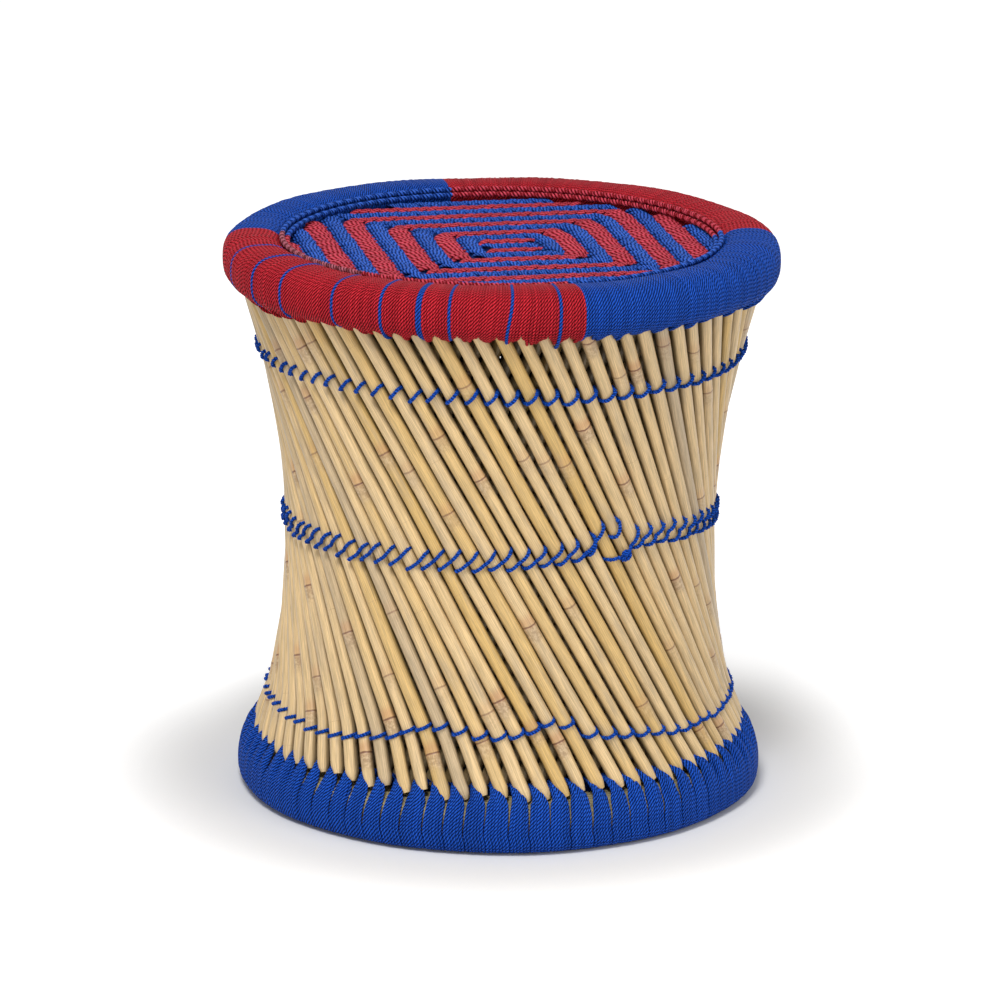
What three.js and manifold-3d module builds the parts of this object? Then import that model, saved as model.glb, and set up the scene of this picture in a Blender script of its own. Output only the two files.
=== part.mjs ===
// Mudda stool: two crossed layers of straight reed canes between two cord-wound grass rings,
// lashed at three heights, under a woven cord seat.
// Millimetres, +Z up, origin at the centre of the floor face, front towards -Y.
// An angle round the stool is counted in degrees from the front, positive towards +X.
import * as THREE from 'three';
import { mergeVertices } from 'three/addons/utils/BufferGeometryUtils.js';
import Module from 'manifold-3d';

const wasm = await Module();
wasm.setup();

// Driving sizes
const stoolHeight = 400;
const clearance = 0.3;
const overrun = 8;

// Canes
const caneDiameter = 10.4;
const caneSlantDegrees = 28.8;
const waistHeight = 183.5;
const bundleCount = 13;
const canesPerBundle = 6;
const bundleBite = 0.05;
const bundleGap = 0.55;
const frontCaneDegrees = 1.97;

// Top ring
const topRingDepth = 37.6;
const topInnerLip = 7.2;
const topOuterLip = 9.1;
const topCaneTuck = 9.6;
const topCordDiameter = 2;
const topRingSquareness = 2.7;

// Bottom ring
const bottomRingDepth = 38;
const bottomInnerLip = 4;
const bottomOuterLip = 11;
const bottomCaneTuck = 7;
const bottomCordDiameter = 2.4;
const bottomRingSquareness = 3.5;
const floorFlatDepth = 0.5;

// Seat
const seatDrop = 9;
const seatThickness = 8;
const seatBandPitch = 14;
const seatBarLength = 38;
const seatBandBevel = 1.4;
const seatTieWidth = 9;
const seatTurnDegrees = 11;
const seatCentreBands = 5;
const edgeCordDiameter = 6;

// Lashings and small cords
const lashingDiameter = 2.6;
const upperLashingDrop = 41.4;
const upperLashingRise = 11;
const waistLashingLift = 15;
const waistLashingRise = 14;
const knotDegrees = 33;
const knotWidth = 10;
const knotHeight = 8;
const knotDepth = 6;
const knotPress = 1.2;
const accentShoulder = 6;

// Facets
const outerCaneSides = 8;
const innerCaneSides = 6;
const ringSteps = 32;
const windingPoints = 12;
const liningPoints = 8;
const corePoints = 8;
const cordSides = 4;
const edgeCordSides = 5;
const knotSides = 8;
const knotRings = 6;

// Colour changes of the top winding, in degrees
const topWindings = [
  { name: 'top_wrap_red_front', from: -91, to: 17, cord: 'redCord' },
  { name: 'top_wrap_blue_front', from: 17, to: 95, cord: 'blueCord' },
  { name: 'top_wrap_red_back', from: 95, to: 194, cord: 'redCord' },
  { name: 'top_wrap_blue_back', from: 194, to: 269, cord: 'blueCord' },
];

// Accent cords of the top winding: their places in degrees, and their turns side by side
const accents = [
  [-73, 1], [-61, 1], [-50.3, 1], [-36, 1], [-24.8, 1], [-16.5, 2], [-10, 1], [2, 1], [12.2, 1],
];

// The lower lashing's route: degrees round the stool and height
const lowerLashingRoute = [
  [-180, 72], [-120, 70], [-75, 67], [-50, 65], [-30, 73], [-16, 84], [-5, 79], [6, 80],
  [15, 90], [24, 77], [36, 74], [46, 68], [80, 68], [130, 74], [180, 72],
];

const materials = {
  outerCane: new THREE.MeshStandardMaterial({ color: 0xc8a672, roughness: 0.6, metalness: 0 }),
  innerCane: new THREE.MeshStandardMaterial({ color: 0xb9965f, roughness: 0.7, metalness: 0 }),
  grass: new THREE.MeshStandardMaterial({ color: 0xa8976f, roughness: 0.9, metalness: 0 }),
  blueCord: new THREE.MeshStandardMaterial({ color: 0x244a9c, roughness: 0.75, metalness: 0 }),
  redCord: new THREE.MeshStandardMaterial({ color: 0xa02836, roughness: 0.75, metalness: 0 }),
};

const radians = THREE.MathUtils.degToRad;
const stool = new THREE.Group();

// Solids

function solidOf(geometry) {
  const bare = geometry.clone();
  bare.deleteAttribute('normal');
  bare.deleteAttribute('uv');
  const merged = mergeVertices(bare);
  return new wasm.Manifold(new wasm.Mesh({
    numProp: 3,
    vertProperties: new Float32Array(merged.attributes.position.array),
    triVerts: new Uint32Array(merged.index.array),
  }));
}

function geometryOf(solid) {
  const mesh = solid.getMesh();
  const geometry = new THREE.BufferGeometry();
  geometry.setAttribute('position', new THREE.BufferAttribute(mesh.vertProperties, 3));
  geometry.setIndex(new THREE.BufferAttribute(mesh.triVerts, 1));
  geometry.computeVertexNormals();
  return geometry;
}

function addPiece(name, geometry, material) {
  const piece = new THREE.Mesh(geometry, material);
  piece.name = name;
  stool.add(piece);
}

// A point at an angle round the stool, at a radius and height
function around(degrees, radius, height) {
  const angle = radians(degrees);
  return new THREE.Vector3(radius * Math.sin(angle), -radius * Math.cos(angle), height);
}

// A solid of revolution about Z from a closed outline of radius and height
function ringSolid(outline) {
  const closed = [...outline, outline[0].clone()];
  return solidOf(new THREE.LatheGeometry(closed, ringSteps).rotateX(Math.PI / 2));
}

// A ring with a rectangular section, whose facets stay outside the outer radius given
function squareRing(innerRadius, outerRadius, low, high) {
  const outer = outerRadius / Math.cos(Math.PI / ringSteps);
  return ringSolid([
    new THREE.Vector2(innerRadius, low),
    new THREE.Vector2(outer, low),
    new THREE.Vector2(outer, high),
    new THREE.Vector2(innerRadius, high),
  ]);
}

// Cane layers: each is a ruled hyperboloid, given by its waist radius and the slope of its canes

const topRingLow = stoolHeight - topRingDepth;
const caneTop = topRingLow + topCaneTuck;
const caneBottom = bottomRingDepth - bottomCaneTuck;

// A bundle's canes just bite into each other, and bundles stand a gap apart
function bundleWidth(diameter) {
  return canesPerBundle * diameter - (canesPerBundle - 1) * bundleBite + bundleGap;
}

function caneLayer(waistRadius, slope, diameter, sides, lean) {
  return {
    waistRadius,
    slope,
    diameter,
    sides,
    lean,
    cornerRadius: diameter / 2 / Math.cos(Math.PI / sides),
    radiusAt: (height) => Math.hypot(waistRadius, slope * (height - waistHeight)),
  };
}

// How far a slanted cane's corners reach from its axis, measured level along the radius
function caneReach(layer, height) {
  const away = Math.abs(height - waistHeight);
  const radial = layer.slope ** 2 * away / layer.radiusAt(height) / Math.hypot(1, layer.slope);
  return layer.cornerRadius / Math.sqrt(1 - radial ** 2);
}

const outerSlope = Math.tan(radians(caneSlantDegrees));
const outerWaistRadius = bundleCount * bundleWidth(caneDiameter) * Math.hypot(1, outerSlope) / 2 / Math.PI;
const outerLayer = caneLayer(outerWaistRadius, outerSlope, caneDiameter, outerCaneSides, -1);

const layerSpacing = 2 * outerLayer.cornerRadius + clearance;
const innerWaistRadius = outerWaistRadius - layerSpacing;
const innerTopRadius = outerLayer.radiusAt(caneTop) - layerSpacing;
const innerSlope = Math.sqrt(innerTopRadius ** 2 - innerWaistRadius ** 2) / (caneTop - waistHeight);
const innerBundlePitch = 2 * Math.PI * innerWaistRadius / Math.hypot(1, innerSlope) / bundleCount;
const innerDiameter = (innerBundlePitch + (canesPerBundle - 1) * bundleBite - bundleGap) / canesPerBundle;
const innerLayer = caneLayer(innerWaistRadius, innerSlope, innerDiameter, innerCaneSides, 1);

function caneSolid(layer, degrees) {
  const angle = radians(degrees);
  const outward = new THREE.Vector3(Math.sin(angle), -Math.cos(angle), 0);
  const along = new THREE.Vector3(
    layer.lean * layer.slope * Math.cos(angle),
    layer.lean * layer.slope * Math.sin(angle),
    1,
  );
  const rise = caneTop - caneBottom + 2 * overrun;
  const middle = (caneTop + caneBottom) / 2 - waistHeight;
  const centre = outward.clone().multiplyScalar(layer.waistRadius)
    .add(new THREE.Vector3(0, 0, waistHeight))
    .addScaledVector(along, middle);
  const length = rise * along.length();
  along.normalize();
  const frame = new THREE.Matrix4()
    .makeBasis(outward, along, new THREE.Vector3().crossVectors(outward, along))
    .setPosition(centre);
  const cane = new THREE.CylinderGeometry(layer.cornerRadius, layer.cornerRadius, length, layer.sides)
    .rotateY(Math.PI / layer.sides);
  return solidOf(cane.applyMatrix4(frame));
}

function addBundles(layer, label, material) {
  const pitch = 360 / bundleCount;
  const spacing = layer.diameter - bundleBite;
  const stepDegrees = THREE.MathUtils.radToDeg(
    spacing * Math.hypot(1, layer.slope) / layer.waistRadius,
  );
  const reach = layer.radiusAt(caneTop) + layer.diameter + overrun;
  const slab = new THREE.BoxGeometry(2 * reach, 2 * reach, caneTop - caneBottom)
    .translate(0, 0, (caneTop + caneBottom) / 2);
  const span = solidOf(slab);
  for (let bundle = 0; bundle < bundleCount; bundle += 1) {
    const middle = frontCaneDegrees + stepDegrees / 2 + pitch * bundle;
    const canes = [];
    for (let cane = 0; cane < canesPerBundle; cane += 1) {
      const offset = cane - (canesPerBundle - 1) / 2;
      canes.push(caneSolid(layer, middle + offset * stepDegrees));
    }
    const joined = wasm.Manifold.union(canes).intersect(span);
    addPiece(`${label}_${String(bundle + 1).padStart(2, '0')}`, geometryOf(joined), material);
  }
}

// Rings: a rounded-square roll of grass, wound with cord, that takes the cane ends in a groove

const topMouthInner = innerLayer.radiusAt(topRingLow) - caneReach(innerLayer, topRingLow) - clearance;
const topMouthOuter = outerLayer.radiusAt(caneTop) + caneReach(outerLayer, caneTop) + clearance;
const bottomMouthInner = innerLayer.radiusAt(bottomRingDepth)
  - caneReach(innerLayer, bottomRingDepth) - clearance;
const bottomMouthOuter = outerLayer.radiusAt(caneBottom) + caneReach(outerLayer, caneBottom) + clearance;

const topRing = {
  inner: topMouthInner - topInnerLip,
  outer: topMouthOuter + topOuterLip,
  low: topRingLow,
  high: stoolHeight,
  squareness: topRingSquareness,
  cord: topCordDiameter,
};
const bottomRing = {
  inner: bottomMouthInner - bottomInnerLip,
  outer: bottomMouthOuter + bottomOuterLip,
  low: -floorFlatDepth,
  high: bottomRingDepth,
  squareness: bottomRingSquareness,
  cord: bottomCordDiameter,
};

// A point of the roll's outline, a superellipse drawn in by an inset
function rollPoint(ring, inset, turn) {
  const power = 2 / ring.squareness;
  const halfWidth = (ring.outer - ring.inner) / 2 - inset;
  const halfDepth = (ring.high - ring.low) / 2 - inset;
  const across = Math.sign(Math.cos(turn)) * Math.abs(Math.cos(turn)) ** power;
  const up = Math.sign(Math.sin(turn)) * Math.abs(Math.sin(turn)) ** power;
  return new THREE.Vector2(
    (ring.outer + ring.inner) / 2 + halfWidth * across,
    (ring.high + ring.low) / 2 + halfDepth * up,
  );
}

// How far the middle of a roll's inner facets lies from the stool's axis at a height
function innerFace(ring, height) {
  const halfWidth = (ring.outer - ring.inner) / 2;
  const up = (2 * height - ring.high - ring.low) / (ring.high - ring.low);
  const across = (1 - Math.abs(up) ** ring.squareness) ** (1 / ring.squareness);
  return (ring.inner + halfWidth - halfWidth * across) * Math.cos(Math.PI / ringSteps);
}

function rollSolid(ring, inset, points) {
  const outline = [];
  for (let point = 0; point < points; point += 1) {
    outline.push(rollPoint(ring, inset, 2 * Math.PI * point / points));
  }
  return ringSolid(outline);
}

// The core is a full roll with a groove for the cane ends
function coreSolid(ring, groove) {
  return rollSolid(ring, ring.cord + clearance, corePoints).subtract(groove);
}

// The winding is a shell over the core, open where the canes go in
function windingSolid(ring, mouth) {
  const lining = rollSolid(ring, ring.cord, liningPoints);
  return rollSolid(ring, 0, windingPoints).subtract(lining).subtract(mouth);
}

// A wedge of everything between two angles of a ring, less half the clearance at each side
function wedgeSolid(ring, from, to) {
  const trim = THREE.MathUtils.radToDeg(clearance / 2 / ring.inner);
  const shape = new THREE.Shape();
  const reach = ring.outer + overrun;
  const start = radians(from + trim - 90);
  shape.moveTo(0, 0);
  shape.lineTo(reach * Math.cos(start), reach * Math.sin(start));
  shape.absarc(0, 0, reach, start, radians(to - trim - 90), false);
  shape.closePath();
  const wedge = new THREE.ExtrudeGeometry(shape, {
    depth: ring.high - ring.low + 2 * overrun,
    bevelEnabled: false,
    curveSegments: ringSteps,
  });
  return solidOf(wedge.translate(0, 0, ring.low - overrun));
}

// A slab across one side of a ring, from a radius outwards
function slabSolid(ring, degrees, width, start) {
  const reach = ring.outer + overrun - start;
  const slab = new THREE.BoxGeometry(width, reach, ring.high - ring.low + 2 * overrun)
    .translate(0, -start - reach / 2, (ring.high + ring.low) / 2)
    .rotateZ(radians(degrees));
  return solidOf(slab);
}

function addTopRing() {
  const groove = squareRing(topMouthInner, topMouthOuter, topRing.low - overrun, caneTop + clearance);
  addPiece('top_ring_core', geometryOf(coreSolid(topRing, groove)), materials.grass);
  const winding = windingSolid(topRing, groove);

  // Accent cords take the winding's place from its shoulder, above the seat, to its outer lip
  const shoulder = topRing.inner + accentShoulder;
  const slots = accents.map(([degrees, turns]) => slabSolid(
    topRing,
    degrees,
    turns * topRing.cord + 2 * clearance,
    shoulder - clearance,
  ));
  const slotted = winding.subtract(wasm.Manifold.union(slots));
  for (const part of topWindings) {
    const wedge = wedgeSolid(topRing, part.from, part.to);
    addPiece(part.name, geometryOf(slotted.intersect(wedge)), materials[part.cord]);
  }
  accents.forEach(([degrees, turns], index) => {
    const over = slabSolid(topRing, degrees, turns * topRing.cord, shoulder);
    const accent = winding.intersect(over).decompose()
      .sort((one, other) => other.volume() - one.volume())[0];
    addPiece(`accent_cord_${index + 1}`, geometryOf(accent), materials.blueCord);
  });
}

function addBottomRing() {
  const groove = squareRing(
    bottomMouthInner,
    bottomMouthOuter,
    caneBottom - clearance,
    bottomRing.high + overrun,
  );
  const belowFloor = squareRing(
    bottomRing.inner - overrun,
    bottomRing.outer + overrun,
    bottomRing.low - overrun,
    0,
  );
  addPiece('bottom_ring_core', geometryOf(coreSolid(bottomRing, groove)), materials.grass);
  const winding = windingSolid(bottomRing, groove).subtract(belowFloor);
  addPiece('bottom_wrap', geometryOf(winding), materials.blueCord);
}

// Cords: a tube along a route given as a function from 0 to 1

class Route extends THREE.Curve {
  constructor(pointAt) {
    super();
    this.pointAt = pointAt;
  }

  getPoint(share) {
    return this.pointAt(share);
  }

  getPointAt(share) {
    return this.pointAt(share);
  }

  getTangentAt(share) {
    return this.getTangent(share);
  }
}

function cordGeometry(diameter, steps, pointAt) {
  const section = new THREE.Shape();
  for (let side = 0; side < cordSides; side += 1) {
    const turn = 2 * Math.PI * side / cordSides;
    const x = diameter / 2 * Math.cos(turn);
    const y = diameter / 2 * Math.sin(turn);
    if (side === 0) section.moveTo(x, y);
    else section.lineTo(x, y);
  }
  section.closePath();
  return new THREE.ExtrudeGeometry(section, {
    steps,
    extrudePath: new Route(pointAt),
    bevelEnabled: false,
  });
}

const upperLashingHeight = topRingLow - upperLashingDrop;
const waistLashingHeight = waistHeight + waistLashingLift;

// How far out a cord of this diameter lies on the outer canes
function lashingRadius(height, diameter) {
  return outerLayer.radiusAt(height) + caneReach(outerLayer, height) + clearance + diameter / 2;
}

// A lashing climbs across each cane and drops behind it, once for every cane; a level one has no rise
function addLashing(name, heightAt, rise, startDegrees, endGap) {
  const stitches = bundleCount * canesPerBundle;
  const steps = rise > 0 ? 2 * stitches : stitches;
  const gapDegrees = THREE.MathUtils.radToDeg(endGap / outerLayer.radiusAt(heightAt(startDegrees)));
  const sweep = 360 - 2 * gapDegrees;
  const pointAt = (share) => {
    const degrees = startDegrees + gapDegrees + sweep * share;
    const stitch = share * stitches;
    const phase = stitch - Math.floor(stitch);
    const zigzag = phase < 0.5 ? 2 * phase : 2 - 2 * phase;
    const height = heightAt(degrees) + rise * (zigzag - 0.5);
    return around(degrees, lashingRadius(height, lashingDiameter), height);
  };
  addPiece(name, cordGeometry(lashingDiameter, steps, pointAt), materials.blueCord);
}

function lowerLashingHeight(degrees) {
  const wrapped = THREE.MathUtils.euclideanModulo(degrees + 180, 360) - 180;
  const next = Math.max(1, lowerLashingRoute.findIndex(([at]) => at >= wrapped));
  const [fromDegrees, fromHeight] = lowerLashingRoute[next - 1];
  const [toDegrees, toHeight] = lowerLashingRoute[next];
  const blend = THREE.MathUtils.smoothstep(wrapped, fromDegrees, toDegrees);
  return THREE.MathUtils.lerp(fromHeight, toHeight, blend);
}

function addLashings() {
  addLashing('lashing_upper', () => upperLashingHeight, upperLashingRise, 180, lashingDiameter / 2);
  addLashing(
    'lashing_waist',
    () => waistLashingHeight,
    waistLashingRise,
    knotDegrees,
    knotWidth / 2 + lashingDiameter,
  );
  addLashing('lashing_lower', lowerLashingHeight, 0, 180, lashingDiameter / 2);
}

// The knot is pressed flat where it lies on the canes
function addKnot() {
  const back = outerLayer.radiusAt(waistLashingHeight) + outerLayer.diameter / 2 + clearance;
  const low = waistLashingHeight - knotHeight;
  const high = waistLashingHeight + knotHeight;
  const ball = new THREE.SphereGeometry(1, knotSides, knotRings)
    .scale(knotWidth / 2, knotDepth / 2, knotHeight / 2)
    .translate(0, knotPress - back - knotDepth / 2, waistLashingHeight);
  const knot = solidOf(ball)
    .subtract(box(-knotWidth, knotWidth, -back, 0, low, high))
    .rotate([0, 0, knotDegrees]);
  addPiece('waist_knot', geometryOf(knot), materials.blueCord);
}

// Seat: concentric square bands of red and blue cord, each colour tied together under the other

const seatTop = stoolHeight - seatDrop;
const seatLow = seatTop - seatThickness;
const seatRadius = topRing.inner - clearance;
const tieHigh = seatLow + seatThickness / 2;
const bandInset = clearance / 2 + seatBandBevel;

function box(xLow, xHigh, yLow, yHigh, low, high) {
  const block = new THREE.BoxGeometry(xHigh - xLow, yHigh - yLow, high - low);
  return solidOf(block.translate((xLow + xHigh) / 2, (yLow + yHigh) / 2, (low + high) / 2));
}

function bevelled(shape) {
  const band = new THREE.ExtrudeGeometry(shape, {
    depth: seatThickness,
    bevelThickness: seatBandBevel,
    bevelSize: seatBandBevel,
    bevelSegments: 1,
  });
  return solidOf(band.translate(0, 0, seatLow - seatBandBevel));
}

function rectangle(path, halfWidth, halfLength) {
  path.moveTo(-halfWidth, -halfLength);
  path.lineTo(halfWidth, -halfLength);
  path.lineTo(halfWidth, halfLength);
  path.lineTo(-halfWidth, halfLength);
  path.closePath();
  return path;
}

// A square band between two half sizes, drawn in by half the clearance and its own bevel
function squareBand(innerHalf, outerHalf) {
  const shape = rectangle(new THREE.Shape(), outerHalf - bandInset, outerHalf - bandInset);
  if (innerHalf > 0) {
    shape.holes.push(rectangle(new THREE.Path(), innerHalf + bandInset, innerHalf + bandInset));
  }
  return bevelled(shape);
}

// A tie runs out from the middle on each side, at an offset from the centre line
function seatTies(offset, start, width, low, high) {
  const quarter = box(offset - width / 2, offset + width / 2, start, seatRadius + overrun, low, high);
  return wasm.Manifold.union([0, 90, 180, 270].map((turn) => quarter.rotate([0, 0, turn])));
}

// The seat's outline follows the top ring's winding, a clearance inside it
function seatOutline() {
  const radius = (topRing.inner + topRing.outer) / 2;
  const disc = new THREE.CylinderGeometry(radius, radius, seatThickness, ringSteps)
    .rotateX(Math.PI / 2)
    .translate(0, 0, (seatTop + seatLow) / 2);
  return solidOf(disc).subtract(rollSolid(topRing, -clearance, windingPoints));
}

function addSeat() {
  const centreHalf = seatCentreBands / 2 * seatBandPitch;
  const sides = [-1, 1];
  const bars = sides.map((side) => bevelled(rectangle(
    new THREE.Shape(),
    seatBarLength / 2 - bandInset,
    seatBandPitch / 2 - bandInset,
  )).translate([0, side * seatBandPitch, 0]));
  const barRoom = sides.map((side) => box(
    -seatBarLength / 2,
    seatBarLength / 2,
    side * seatBandPitch - seatBandPitch / 2,
    side * seatBandPitch + seatBandPitch / 2,
    seatLow - overrun,
    seatTop + overrun,
  ));
  const redBands = [...bars];
  const blueBands = [squareBand(0, centreHalf).subtract(wasm.Manifold.union(barRoom))];
  for (let half = centreHalf, red = true; half < seatRadius; half += seatBandPitch, red = !red) {
    (red ? redBands : blueBands).push(squareBand(half, half + seatBandPitch));
  }
  const redOffset = 0;
  const blueOffset = (seatCentreBands - 2) / 2 * seatBandPitch;
  const room = seatTieWidth + 2 * clearance;
  const outline = seatOutline();
  const finish = (bands, otherOffset, offset, otherStart, start) => wasm.Manifold.union(bands)
    .subtract(seatTies(otherOffset, otherStart - clearance, room, seatLow - overrun, tieHigh + clearance))
    .add(seatTies(offset, start, seatTieWidth, seatLow, tieHigh))
    .rotate([0, 0, seatTurnDegrees])
    .intersect(outline);
  const redStart = seatBandPitch;
  const blueStart = centreHalf - seatBandPitch / 2;
  addPiece(
    'seat_red_cords',
    geometryOf(finish(redBands, blueOffset, redOffset, blueStart, redStart)),
    materials.redCord,
  );
  addPiece(
    'seat_blue_cords',
    geometryOf(finish(blueBands, redOffset, blueOffset, redStart, blueStart)),
    materials.blueCord,
  );
}

function addEdgeCord() {
  const height = seatTop + clearance + edgeCordDiameter / 2;
  const radius = innerFace(topRing, height) - clearance - edgeCordDiameter / 2;
  const outline = [];
  for (let side = 0; side < edgeCordSides; side += 1) {
    const turn = 2 * Math.PI * side / edgeCordSides;
    outline.push(new THREE.Vector2(
      radius + edgeCordDiameter / 2 * Math.cos(turn),
      height + edgeCordDiameter / 2 * Math.sin(turn),
    ));
  }
  addPiece('seat_edge_cord', geometryOf(ringSolid(outline)), materials.blueCord);
}

addBundles(outerLayer, 'outer_canes', materials.outerCane);
addBundles(innerLayer, 'inner_canes', materials.innerCane);
addTopRing();
addBottomRing();
addLashings();
addKnot();
addSeat();
addEdgeCord();

export default stool;
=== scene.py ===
"""Mudda stool: crossed reed canes between two cord-wound rings, cord lashings and a woven cord seat."""

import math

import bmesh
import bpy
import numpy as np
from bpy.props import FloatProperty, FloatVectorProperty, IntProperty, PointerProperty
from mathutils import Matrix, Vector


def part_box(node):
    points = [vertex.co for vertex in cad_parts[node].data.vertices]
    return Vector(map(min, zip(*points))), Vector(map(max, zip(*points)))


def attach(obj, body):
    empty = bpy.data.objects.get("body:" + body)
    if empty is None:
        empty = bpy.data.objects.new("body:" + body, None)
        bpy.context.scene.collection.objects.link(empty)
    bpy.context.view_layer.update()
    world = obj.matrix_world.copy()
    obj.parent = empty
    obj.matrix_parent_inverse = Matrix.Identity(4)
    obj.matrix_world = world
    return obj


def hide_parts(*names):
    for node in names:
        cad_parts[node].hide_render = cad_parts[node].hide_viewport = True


bl_info = {
    "name": "Mudda Stool",
    "version": (1, 0, 0),
    "blender": (4, 5, 0),
    "location": "View3D > Sidebar > Stool",
    "description": "Builds the canes, wound rings, lashings and woven seat of a mudda stool",
    "category": "Object",
}

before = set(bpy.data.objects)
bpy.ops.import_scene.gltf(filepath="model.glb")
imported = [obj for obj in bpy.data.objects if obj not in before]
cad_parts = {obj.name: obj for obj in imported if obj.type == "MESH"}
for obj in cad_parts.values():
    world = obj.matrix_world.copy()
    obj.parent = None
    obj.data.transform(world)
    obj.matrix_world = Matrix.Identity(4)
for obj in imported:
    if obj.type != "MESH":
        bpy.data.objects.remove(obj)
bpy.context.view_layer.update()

MM = 0.001
BUNDLES = 13
TURN = 2 * math.pi


def extent(node):
    """Lowest height, highest height and sideways reach of a CAD node"""
    low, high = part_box(node)
    return low.z, high.z, high.x


# Places of the CAD model that the looks follow
CANE_LOW, CANE_HIGH = extent("outer_canes_01")[:2]
TOP_RING_LOW, TOP_RING_HIGH, TOP_RING_OUTER = extent("top_wrap_blue_front")
BOTTOM_RING_HIGH, BOTTOM_RING_OUTER = extent("bottom_wrap")[1:]
SEAT_LOW, SEAT_HIGH, SEAT_RADIUS = extent("seat_blue_cords")
EDGE_CORD_LOW, EDGE_CORD_HIGH, EDGE_CORD_RADIUS = extent("seat_edge_cord")

# Colour changes of the top winding in degrees from the front, with the CAD node of each stretch
TOP_STRETCHES = [
    ("top_wrap_red_front", -91, 17, "red"),
    ("top_wrap_blue_front", 17, 95, "blue"),
    ("top_wrap_red_back", 95, 194, "red"),
    ("top_wrap_blue_back", 194, 269, "blue"),
]

# Accent turns: degrees from the front, and turns side by side
ACCENTS = [(-73, 1), (-61, 1), (-50.3, 1), (-36, 1), (-24.8, 1), (-16.5, 2), (-10, 1), (2, 1), (12.2, 1)]

# Rows of the seat's edge braid: finish, first and last angle, and the row, 0 inside and 1 outside
EDGE_ROWS = [
    ("faded", -91, -38, 1), ("red", -91, -38, 0), ("red", -38, 17, 0), ("red", -38, 17, 1),
    ("blue", 17, 95, 0), ("blue", 17, 95, 1), ("red", 95, 194, 0), ("red", 95, 194, 1),
    ("blue", 194, 269, 0), ("blue", 194, 269, 1),
]

# How much of a cane's pitch a fan of the bottom winding fills at each height
FAN_HEIGHTS = np.array([14, 20, 28, 34, 38, 42, 46, 50]) * MM
FAN_WIDTH_SHARES = np.array([0.95, 0.90, 0.86, 0.81, 0.70, 0.47, 0.28, 0.20])

# How strongly a fan is drawn in: the least, what chance adds, and the least between the front's two angles
FAN_STRENGTH_SHARES = (0.3, 0.9, 0.55)
FAN_FRONT_DEGREES = (-38, 28)

# The lower lashing's route: degrees round the stool, and height
LOWER_LASHING_DEGREES = [-180, -120, -75, -50, -30, -16, -5, 6, 15, 24, 36, 46, 80, 130, 180]
LOWER_LASHING_HEIGHTS = np.array([72, 70, 67, 65, 73, 84, 79, 80, 90, 77, 74, 68, 68, 74, 72]) * MM

# The waist lashing's middle: degrees round the stool, and height
WAIST_LASHING_DEGREES = [-180, -60, -20, 0, 16, 30, 45, 60, 90, 180]
WAIST_LASHING_HEIGHTS = np.array([198.5, 198.5, 200, 202.5, 206, 210, 211, 207, 201, 198.5]) * MM

# Stitches of each lashing: half their height, how many gaps on they end, and how far they hook
UPPER_STITCH = (4.8 * MM, 1, 0.2)
WAIST_STITCH = (7.5 * MM, 2, 0.2)
LOWER_STITCH = (2.3 * MM, 1, 0)

# Stitches beside the waist knot: first and last gap between canes, first and last height, and hook
WAIST_BREAK_FIRST = 4
WAIST_BREAK = [
    (3.5, 5.5, 198 * MM, 214 * MM, 0.15),
    (4.5, 7.5, 199.5 * MM, 226 * MM, 0.3),
    (5.5, 6.6, 203 * MM, 219 * MM, 0.5),
    (7.5, 8.5, 213.5 * MM, 228 * MM, 0.55),
]

# The knot: the gap and height where its tail comes out, its middle, and where its last stitch goes in
KNOT_TAIL = (6.5, 198.5 * MM)
KNOT_MIDDLE = (7.72, 200.8 * MM)
KNOT_EXIT = (9.55, 220 * MM)

# The half turns at which the knot's coil starts, and how many it makes
KNOT_HALF_TURNS = (1.1, 3.9)

# Steps round one turn of a ring's winding, with those before its outer side, so that it joins out of sight
TURN_STEPS = 44
HIDDEN_STEPS = 13

# Where the top turns lean as they go down: degrees from the front, how far, and over what spread
LEANING_TURNS = (2, 1.3, 7)

# How thick one cord of a seat float is: in the front and back bands, and in the side bands
SEAT_CORD_SHARES = {"rope": 1, "row": 1.6}

# Finish of each kind of cord: plies, spacing of the marks of its twist, relief, the grooves' share of the
# colour, which is painted shade, and the lift of the painted sheen that makes its ridges paler
CORD_KINDS = {
    "wound": (3, 2.7 * MM, 0.6 * MM, 0.20, 0.018),
    "laid": (2, 1.5 * MM, 0.2 * MM, 0.45, 0.012),
    "woven": (2, 3.0 * MM, 0.4 * MM, 0.36, 0.06),
}

# How much of the ridges' painted sheen each of red, green and blue takes
SHEEN_LIFT_SHARES = (0.6, 1.0, 1.5)

# Marks of a reed: its splits, the ring at a node, the blush about it, and the worn sheath below it
SPLIT_BROWN = (0.11, 0.05, 0.022, 1)
RING_BROWN = (0.13, 0.04, 0.018, 1)
BLUSH = (0.46, 0.19, 0.07, 1)
SHEATH_DARK = (0.26, 0.15, 0.08, 1)
SHEATH_PALE = (0.54, 0.40, 0.25, 1)

# Lamps: name, place and width in metres
LAMPS = [
    ("key", (-0.4, -1.75, 2.8), 0.9),
    ("fill", (1.8, -1.6, 1.2), 1.6),
    ("low", (-1.1, -2.3, 0.45), 0.6),
]
LAMP_TARGET = (0, 0, 0.2)
FLOOR_REACH = 40.0


# Sizes and colours

def a_length(name, description, default):
    return FloatProperty(name=name, description=description, default=default, unit="LENGTH")


def an_angle(name, description, degrees):
    return FloatProperty(
        name=name, description=description, default=math.radians(degrees), subtype="ANGLE")


def a_number(name, description, default):
    return FloatProperty(name=name, description=description, default=default)


def a_count(name, description, default, least=1):
    return IntProperty(name=name, description=description, default=default, min=least)


def a_colour(name, description, *channels):
    return FloatVectorProperty(
        name=name, description=description, subtype="COLOR", size=4, default=(*channels, 1))


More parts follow.
